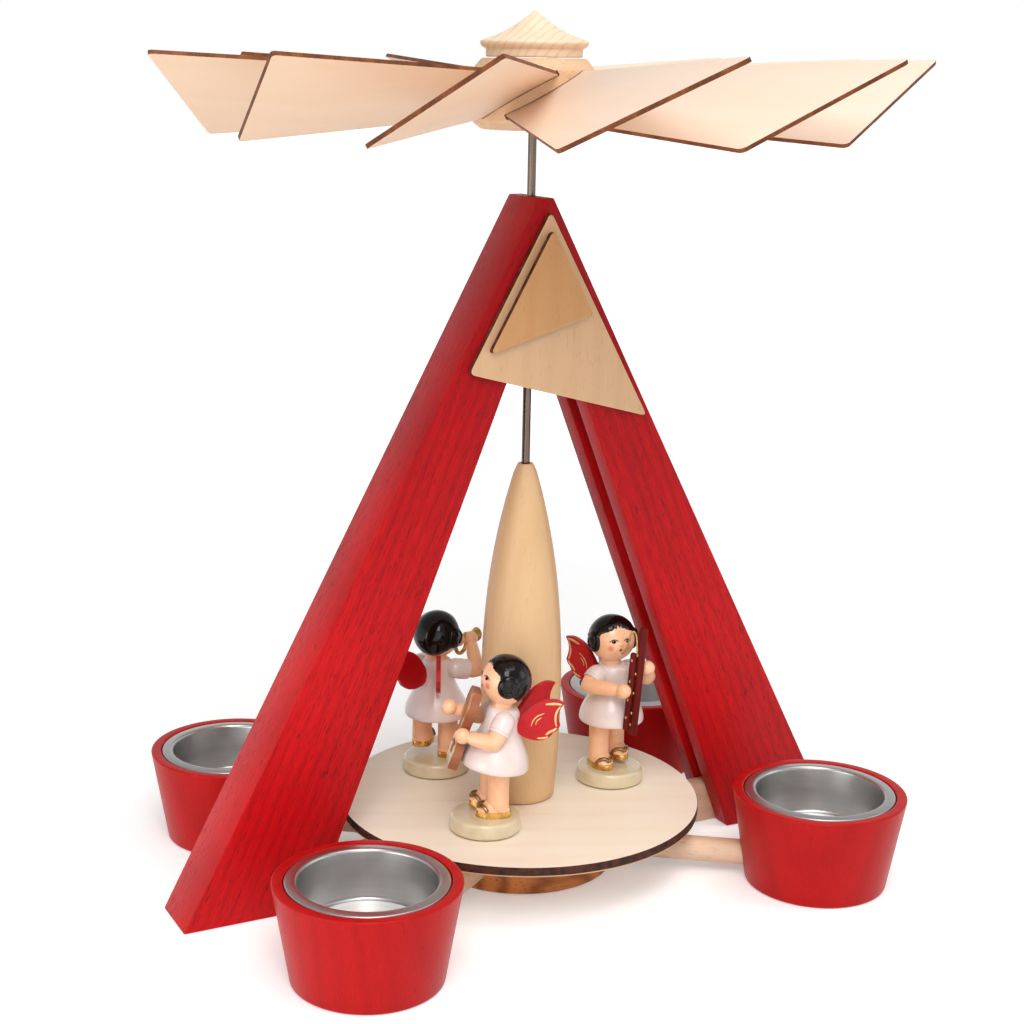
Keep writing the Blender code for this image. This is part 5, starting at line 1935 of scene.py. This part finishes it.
@dataclass(frozen=True)
class Wings:
    """The pair of scalloped wings with gold edging; lines run outwards along X and up along Y."""

    thickness: float = 0.0015
    height: float = 0.0389
    spacing: float = 0.0021
    back: float = -0.0044
    edge: float = 0.0002
    lines: tuple[tuple[Point, ...], ...] = (
        ((0.0138, 0.0064), (0.0110, 0.0068), (0.0083, 0.0062), (0.0060, 0.0051), (0.0039, 0.0032),
         (0.0020, 0.0006), (0.0008, -0.0014)),
        ((0.0008, -0.0014), (0.0005, -0.0030), (0.00055, -0.0044), (0.0010, -0.0058), (0.0024, -0.0068),
         (0.0044, -0.0072)),
        ((0.0044, -0.0072), (0.0064, -0.0072), (0.0088, -0.0066), (0.0109, -0.0051)),
        ((0.0109, -0.0051), (0.0118, -0.0035), (0.0126, -0.0027), (0.0133, -0.0012)),
        ((0.0133, -0.0012), (0.0127, 0.0004), (0.01235, 0.0024), (0.0127, 0.0045), (0.0138, 0.0064)),
    )
    strokes: tuple[tuple[tuple[Point, ...], float], ...] = (
        (((0.0080, 0.0048), (0.0096, 0.0053), (0.0113, 0.0057), (0.0130, 0.0058)), 0.00042),
        (((0.0126, 0.0052), (0.0119, 0.0036), (0.0116, 0.0021), (0.0119, 0.0), (0.0125, -0.0013)), 0.00033),
        (((0.0125, -0.0017), (0.0117, -0.0027), (0.0106, -0.0035), (0.0096, -0.0047)), 0.00040),
        (((0.0104, -0.0051), (0.0089, -0.0059), (0.0072, -0.0063)), 0.00034),
        (((0.0047, -0.0030), (0.0051, -0.0011), (0.0062, 0.0006), (0.0081, 0.0019)), 0.00019),
        (((0.0060, -0.0023), (0.0063, -0.0008), (0.0075, 0.0004)), 0.00017),
    )
    stroke_flat: float = 0.28
    stroke_thin: float = 0.55
    stroke_tip: float = 0.2

    def build(self, angel: Angel) -> None:
        """Saw the wings and lay the edging on their outer faces.

        Args:
            angel: that wears them.
        """
        outline = [(p.x, p.y) for line in self.lines for p in smooth_line(line)[:-1]]
        wings, trim = Cage(), Cage()
        pose = angel.pose
        for side, (flare, rise) in ((Side.LEFT, pose.left_wing), (Side.RIGHT, pose.right_wing)):
            matrix = (
                Matrix.Translation((self.back, side.value * self.spacing, self.height + rise))
                @ Matrix.Rotation(pi - side.value * flare, 4, "Z")
                @ Matrix.Rotation(pi / 2, 4, "X")
            )
            wings.slab(outline, self.thickness, self.edge, matrix)
            lift = Matrix.Translation((0.0, 0.0, side.value * self.thickness / 2))
            face = matrix @ lift @ Matrix.Diagonal((1, 1, self.stroke_flat, 1))
            for line, width in self.strokes:
                spots = smooth_line([(x, y, 0.0) for x, y in line], steps=5)
                last = len(spots) - 1
                waves = [sin(pi * k / last) for k in range(last + 1)]
                widths = [width * (self.stroke_thin + (1 - self.stroke_thin) * wave) for wave in waves]
                widths[0] = widths[-1] = width * self.stroke_tip
                trim.sweep(spots, widths, Sides.STRAP, face)
        angel.add(wings, "wings", [WING_RED], "wing_red", angel.torso, "wings")
        angel.add(trim, "wing_trim", [CREAM_GOLD], "gold_paint", angel.torso)


@dataclass(frozen=True)
class Fiddle:
    """The flat fiddle, held upright, with its gold front; along its body Y runs to the neck."""

    top: Point = (0.0089, 0.0438)
    bottom: Point = (0.0131, 0.0187)
    thickness: float = 0.0028
    edge: float = 0.0002
    half_width: float = 0.005
    waist: float = 0.0020
    waist_power: int = 6
    end_share: float = 0.5
    end_slope: float = 3.0
    rows: int = 40
    front_inset: float = 0.0004
    front: float = 0.0003
    fine_edge: float = 0.0001
    lift: float = 0.0002
    string_count: int = 4
    string_spacing: float = 0.0008
    string_taper: float = 0.8
    string_ends: Point = (-0.0085, 0.0105)
    string_radius: float = 0.0001
    bridge: tuple[Point, ...] = ((-0.0022, -0.0004), (0.0022, -0.0004), (0.0022, 0.0004), (-0.0022, 0.0004))
    bridge_height: float = 0.0006
    bridge_round: float = 0.0003
    bridge_place: float = -0.0052
    neck: tuple[Point, ...] = ((-0.0016, 0.0), (0.0016, 0.0), (0.0011, 0.0085), (-0.0011, 0.0085))
    neck_height: float = 0.0005
    neck_round: float = 0.0004
    neck_place: float = 0.0036
    hole: tuple[Point, ...] = ((0.0020, -0.0030), (0.0026, -0.0022), (0.0020, -0.0010), (0.0026, -0.0002))
    hole_sink: float = 0.00005
    hole_radius: float = 0.00018

    def outline(self, inset: float) -> list[Point]:
        """Draw the waisted outline of the body.

        Args:
            inset: distance that it is drawn in.

        Returns:
            The points of the outline.
        """
        length = (Vector(self.top) - Vector(self.bottom)).length
        edge = []
        for k in range(self.rows + 1):
            share = k / self.rows
            width = self.half_width - self.waist * sin(pi * share) ** self.waist_power
            end = min(share, 1 - share)
            width *= min(1.0, sqrt(max(0.0, self.end_share + self.end_slope * end)))
            edge.append((width - inset, (share - 0.5) * (length - 2 * inset)))
        return edge + [(-x, y) for x, y in reversed(edge)]

    def build(self, angel: Angel) -> None:
        """Saw the body with its gold front.

        Args:
            angel: that holds it.
        """
        top, bottom = Vector(self.top), Vector(self.bottom)
        middle = (top + bottom) / 2
        slope = atan2(top.x - bottom.x, top.y - bottom.y)
        matrix = (
            angel.torso
            @ Matrix.Translation((middle.x, 0.0, middle.y))
            @ Matrix.Rotation(slope, 4, "Y")
            @ Matrix.Rotation(pi / 2, 4, "Z")
            @ Matrix.Rotation(pi / 2, 4, "X")
        )
        body, front = Cage(), Cage()
        body.slab(self.outline(0.0), self.thickness, self.edge)
        angel.add(body, "fiddle", [FIDDLE_BROWN], "instrument_brown", matrix, "fiddle")
        face = Matrix.Translation((0.0, 0.0, self.thickness / 2))
        front.slab(self.outline(self.front_inset), self.front, self.fine_edge, face)
        angel.add(front, "fiddle_front", [GOLD_PAINT], "gold_paint", matrix)
        angel.add(self.strings(), "fiddle_strings", [FIDDLE_BROWN], "instrument_brown", matrix)

    def strings(self) -> Cage:
        """Lay strings, bridge, neck and sound holes on the front.

        Returns:
            Their mesh.
        """
        cage = Cage()
        lift = self.thickness / 2 + self.lift
        low, high = self.string_ends
        for k in range(self.string_count):
            x = (k - (self.string_count - 1) / 2) * self.string_spacing
            string = [(x, low, lift), (x * self.string_taper, high, lift)]
            cage.sweep(string, [self.string_radius] * 2, Sides.THREAD)
        bridge = rounded(self.bridge, self.bridge_round)
        place = Matrix.Translation((0.0, self.bridge_place, lift))
        cage.slab(bridge, self.bridge_height, self.fine_edge, place)
        neck = rounded(self.neck, self.neck_round)
        cage.slab(neck, self.neck_height, self.fine_edge, Matrix.Translation((0.0, self.neck_place, lift)))
        for side in Side:
            hole = smooth_line([(x, y, 0.0) for x, y in self.hole], steps=5)
            spots = [(side.value * p.x, p.y, lift - self.hole_sink) for p in hole]
            cage.sweep(spots, [self.hole_radius] * len(spots), Sides.THREAD)
        return cage


@dataclass(frozen=True)
class Bassoon:
    """The bassoon of two brown tubes with gold keys and a curved gold crook."""

    long_low: Spot = (0.0124, -0.0002, 0.0193)
    long_high: Spot = (0.0122, 0.0031, 0.0548)
    long_radius: float = 0.00145
    short_low: Spot = (0.0120, -0.0026, 0.0212)
    short_high: Spot = (0.0118, -0.0003, 0.0468)
    short_radius: float = 0.00105
    foot: Point = (0.0003, 0.0002)
    collar: Point = (0.0005, 0.0002)
    mouth: Point = (0.00015, 0.0005)
    seam_keys: tuple[float, ...] = (0.07, 0.22, 0.48, 0.73, 0.97)
    seam_step: Spot = (0.00095, 0.0008, 0.0)
    front_keys: tuple[float, ...] = (0.17, 0.40, 0.64, 0.91)
    front_step: Spot = (0.00055, -0.00092, 0.0)
    key: Spot = (0.00034, 0.00030, 0.00054)
    crook: tuple[Spot, ...] = (
        (0.0121, 0.0009, 0.0462), (0.0120, 0.0007, 0.0492), (0.0118, 0.0005, 0.0522),
        (0.0112, -0.0001, 0.0537), (0.0105, -0.0009, 0.0524), (0.0098, -0.0011, 0.0497),
        (0.0090, -0.0014, 0.0471), (0.0074, -0.0019, 0.0455),
    )
    crook_radius: float = 0.0003

    def build(self, angel: Angel) -> None:
        """Make the tubes, the keys and the crook.

        Args:
            angel: that holds it.
        """
        tubes, keys = Cage(), Cage()
        self.tube(tubes, self.long_low, self.long_high, self.long_radius)
        self.tube(tubes, self.short_low, self.short_high, self.short_radius)
        low, high = Vector(self.short_low), Vector(self.short_high)
        for shares, step in ((self.seam_keys, self.seam_step), (self.front_keys, self.front_step)):
            for share in shares:
                keys.ball(low.lerp(high, share) + Vector(step), self.key)
        crook = smooth_line(self.crook, steps=7)
        keys.sweep(crook, [self.crook_radius] * len(crook), Sides.PIPE)
        angel.add(tubes, "bassoon", [BASSOON_BROWN], "instrument_brown", angel.torso, "bassoon")
        angel.add(keys, "bassoon_keys", [GOLD_PAINT], "gold_paint", angel.torso)

    def tube(self, cage: Cage, low: Spot, high: Spot, radius: float) -> None:
        """Turn one tube with its eased ends.

        Args:
            cage: mesh that takes it.
            low: lower end.
            high: upper end.
            radius: of the tube.
        """
        start, end = Vector(low), Vector(high)
        ahead = (end - start).normalized()
        rise, slim = self.foot
        first, second = self.collar
        bevel, opening = self.mouth
        spots = [start, start + ahead * rise, end - ahead * first, end - ahead * second, end]
        cage.sweep(spots, [radius - slim, radius, radius, radius - bevel, radius - opening], Sides.LIMB)


@dataclass(frozen=True)
class Trumpet:
    """The small gold horn with its hollow bell, two rings and a loop of tube."""

    place: Spot = (0.00706, -0.00285, 0.04518)
    droop: float = radians(8)
    length: float = 0.0125
    tube: float = 0.0009
    bell: float = 0.0024
    flare: float = 0.0045
    mouthpiece: tuple[Point, ...] = ((0.0, -0.0009), (0.0007, -0.0009), (0.0010, -0.0004), (0.0006, 0.0004))
    throat: float = 0.0012
    throat_share: float = 0.8
    rows: int = 12
    hollow_rows: int = 6
    wall: float = 0.00025
    lip: float = 0.0001
    rings: Point = (0.003, 0.0065)
    ring: tuple[Point, ...] = ((0.0, 0.0), (0.00035, 0.0002), (0.00035, 0.0005), (0.0, 0.0007))
    loop_middle: float = 0.0048
    loop_width: float = 0.0029
    loop_length: float = 0.0026
    loop_radius: float = 0.0007
    loop_steps: int = 32

    def build(self, angel: Angel) -> None:
        """Turn the horn and hang its loop of tube.

        Args:
            angel: that blows it.
        """
        matrix = (
            angel.torso
            @ Matrix.Translation(self.place)
            @ Matrix.Rotation(radians(angel.pose.head_turn), 4, "Z")
            @ Matrix.Rotation(pi / 2 + self.droop, 4, "Y")
        )
        tube, bell = self.tube, self.bell
        profile = [*self.mouthpiece, (tube * self.throat_share, self.throat)]
        for k in range(self.rows + 1):
            share = k / self.rows
            profile.append((tube + (bell - tube) * share**2, self.length - self.flare + self.flare * share))
        inner = [(r - self.wall, z) for r, z in profile[-self.hollow_rows :]]
        profile += [(bell - self.lip, self.length + self.lip), *reversed(inner), (0.0, inner[0][1])]
        cage = Cage()
        cage.lathe(profile, Sides.HORN)
        for at in self.rings:
            cage.lathe([(tube + out, at + step) for out, step in self.ring], Sides.ROD)
        angles = [2 * pi * k / self.loop_steps for k in range(self.loop_steps + 1)]
        middle, wide, long = self.loop_middle, self.loop_width, self.loop_length
        loop = [(wide * (1 - cos(a)), 0.0, middle + long * sin(a)) for a in angles]
        cage.sweep(loop, [self.loop_radius] * len(loop), Sides.PIPE)
        angel.add(cage, "trumpet", [GOLD_PAINT], "gold_paint", matrix, "trumpet")


@dataclass(frozen=True)
class FloorPaint(Finish):
    """Matt pale floor that keeps the object's shadow and glows a little towards the lens."""

    name: str = "pale_floor"
    colour: Colour = (0.90, 0.90, 0.90)
    mottle: Colour = (0.88, 0.88, 0.88)
    mottle_scale: Spot = (3.0, 3.0, 3.0)
    near_glow: float = 0.28
    far_glow: float = 0.78
    near: float = 0.30
    far: float = 1.10

    def paint(self, graph: Graph) -> Sockets:
        """Wire a faint mottle, and the glow for rays that show the floor.

        Args:
            graph: the finish's nodes.

        Returns:
            What the shader's sockets take.
        """
        cloud = graph.noise(graph.place(), self.mottle_scale)
        rays = graph.node("ShaderNodeLightPath", output="Is Camera Ray")
        seen = rays.larger(rays.sibling("Is Glossy Ray"))
        reach = graph.between(graph.distance(graph.place(), (0.0, 0.0, 0.0)), self.near, self.far)
        shine = graph.mix((self.near_glow,) * 3, (self.far_glow,) * 3, reach)
        return {
            "Base Color": graph.mix(self.colour, self.mottle, cloud),
            "Roughness": 1.0,
            "Specular IOR Level": 0.0,
            "Emission Color": graph.mix((0.0, 0.0, 0.0), shine, seen),
            "Emission Strength": 1.0,
        }


@dataclass
class Lamp:
    """A soft square lamp."""

    name: str
    place: Spot
    size: float
    power: float


@dataclass
class Studio:
    """Pale floor, soft lamps and the camera."""

    lens: float = 64.87
    sensor: float = 36.0
    shift: float = 0.0508
    nearest: float = 0.01
    place: Spot = (-0.26644, -0.49394, 0.25328)
    yaw: float = radians(26.28)
    pitch: float = radians(13.84)
    roll: float = radians(0.72)
    aim: Spot = (0.0, 0.0, 0.12)
    floor_half: float = 6.0
    floor_thickness: float = 0.01
    floor_gap: float = 0.0001
    sky: float = 0.42
    zenith: float = 0.46
    haze_low: float = 0.20
    haze_high: float = 0.55
    lamps: tuple[Lamp, ...] = (
        Lamp("key_lamp", (-0.42, -0.82, 0.95), 0.50, 6.1),
        Lamp("overhead_lamp", (0.05, -0.30, 1.15), 0.8, 6.2),
        Lamp("front_lamp", (-0.32, -0.95, 0.28), 0.5, 0.8),
        Lamp("right_lamp", (0.95, -0.55, 0.50), 0.5, 1.3),
        Lamp("left_lamp", (-0.44, -0.16, 0.06), 0.25, 0.70),
    )

    def build(self) -> None:
        """Make the floor, the light and the camera."""
        scene = bpy.context.scene
        scene.view_settings.view_transform = "Standard"
        self.build_floor()
        self.build_sky(scene)
        for lamp in self.lamps:
            self.build_lamp(lamp)
        self.build_camera(scene)

    def build_floor(self) -> None:
        """Lay the floor just under the feet."""
        cage = Cage()
        half = self.floor_half
        corners = [(-half, -half), (half, -half), (half, half), (-half, half)]
        cage.slab(corners, self.floor_thickness, 0.0)
        floor = cage.piece("studio_floor", [FloorPaint()])
        floor.location.z = -(self.floor_thickness / 2 + self.floor_gap)
        log.info("%s lies under the feet", floor.name)

    def build_sky(self, scene: bpy.types.Scene) -> None:
        """Light the scene evenly, and show white behind the object, dimmer overhead in reflections.

        Args:
            scene: that takes the sky.
        """
        world = bpy.data.worlds.new("studio_sky")
        world.use_nodes = True
        scene.world = world
        graph = Graph(world.node_tree)
        world.node_tree.nodes.remove(world.node_tree.nodes["Background"])
        rays = graph.node("ShaderNodeLightPath", output="Is Camera Ray")
        seen = rays.larger(rays.sibling("Is Glossy Ray")).larger(rays.sibling("Is Transmission Ray"))
        even = graph.node("ShaderNodeBackground", None, {"Color": (1.0, 1.0, 1.0), "Strength": self.sky})
        way = graph.node("ShaderNodeTexCoord", output="Generated")
        height = graph.between(graph.axis(way, "Z"), self.haze_low, self.haze_high)
        shown = height * (1.0 - rays)
        pale = graph.mix((1.0, 1.0, 1.0), (self.zenith,) * 3, shown)
        white = graph.node("ShaderNodeBackground", None, {"Color": pale, "Strength": 1.0})
        both = graph.node("ShaderNodeMixShader", None, {0: seen, 1: even, 2: white})
        graph.feed(world.node_tree.nodes["World Output"].inputs["Surface"], both)
        log.info("%s lights the scene", world.name)

    def build_lamp(self, lamp: Lamp) -> None:
        """Hang one lamp and aim it.

        Args:
            lamp: its place, size and power.
        """
        light = bpy.data.lights.new(lamp.name, "AREA")
        light.size = lamp.size
        light.energy = lamp.power
        hung = bpy.data.objects.new(lamp.name, light)
        hung.location = lamp.place
        hung.rotation_euler = (Vector(self.aim) - Vector(lamp.place)).to_track_quat("-Z", "Y").to_euler()
        bpy.context.scene.collection.objects.link(hung)
        log.info("%s hangs with a power of %s", lamp.name, lamp.power)

    def build_camera(self, scene: bpy.types.Scene) -> None:
        """Set the camera where the view was taken from.

        Args:
            scene: that takes the camera.
        """
        flat = cos(self.pitch)
        ahead = Vector((sin(self.yaw) * flat, cos(self.yaw) * flat, -sin(self.pitch)))
        level = Vector((cos(self.yaw), -sin(self.yaw), 0.0))
        upright = level.cross(ahead)
        right = level * cos(self.roll) + upright * sin(self.roll)
        up = upright * cos(self.roll) - level * sin(self.roll)
        camera = bpy.data.cameras.new("camera")
        camera.lens = self.lens
        camera.sensor_width = self.sensor
        camera.shift_x = self.shift
        camera.clip_start = self.nearest
        holder = bpy.data.objects.new("camera", camera)
        matrix = Matrix((right, up, -ahead)).transposed().to_4x4()
        matrix.translation = self.place
        holder.matrix_world = matrix
        scene.collection.objects.link(holder)
        scene.camera = holder
        log.info("%s looks at the object", holder.name)


def main() -> None:
    """Build every sub-assembly in order."""
    logging.basicConfig(level=logging.INFO, format="%(name)s: %(message)s")
    AFrame().build()
    CandleBase().build()
    Carousel().build()
    BladeWheel().build()
    for pose in POSES:
        Angel(pose).build()
    Studio().build()


if __name__ == "__main__":
    main()
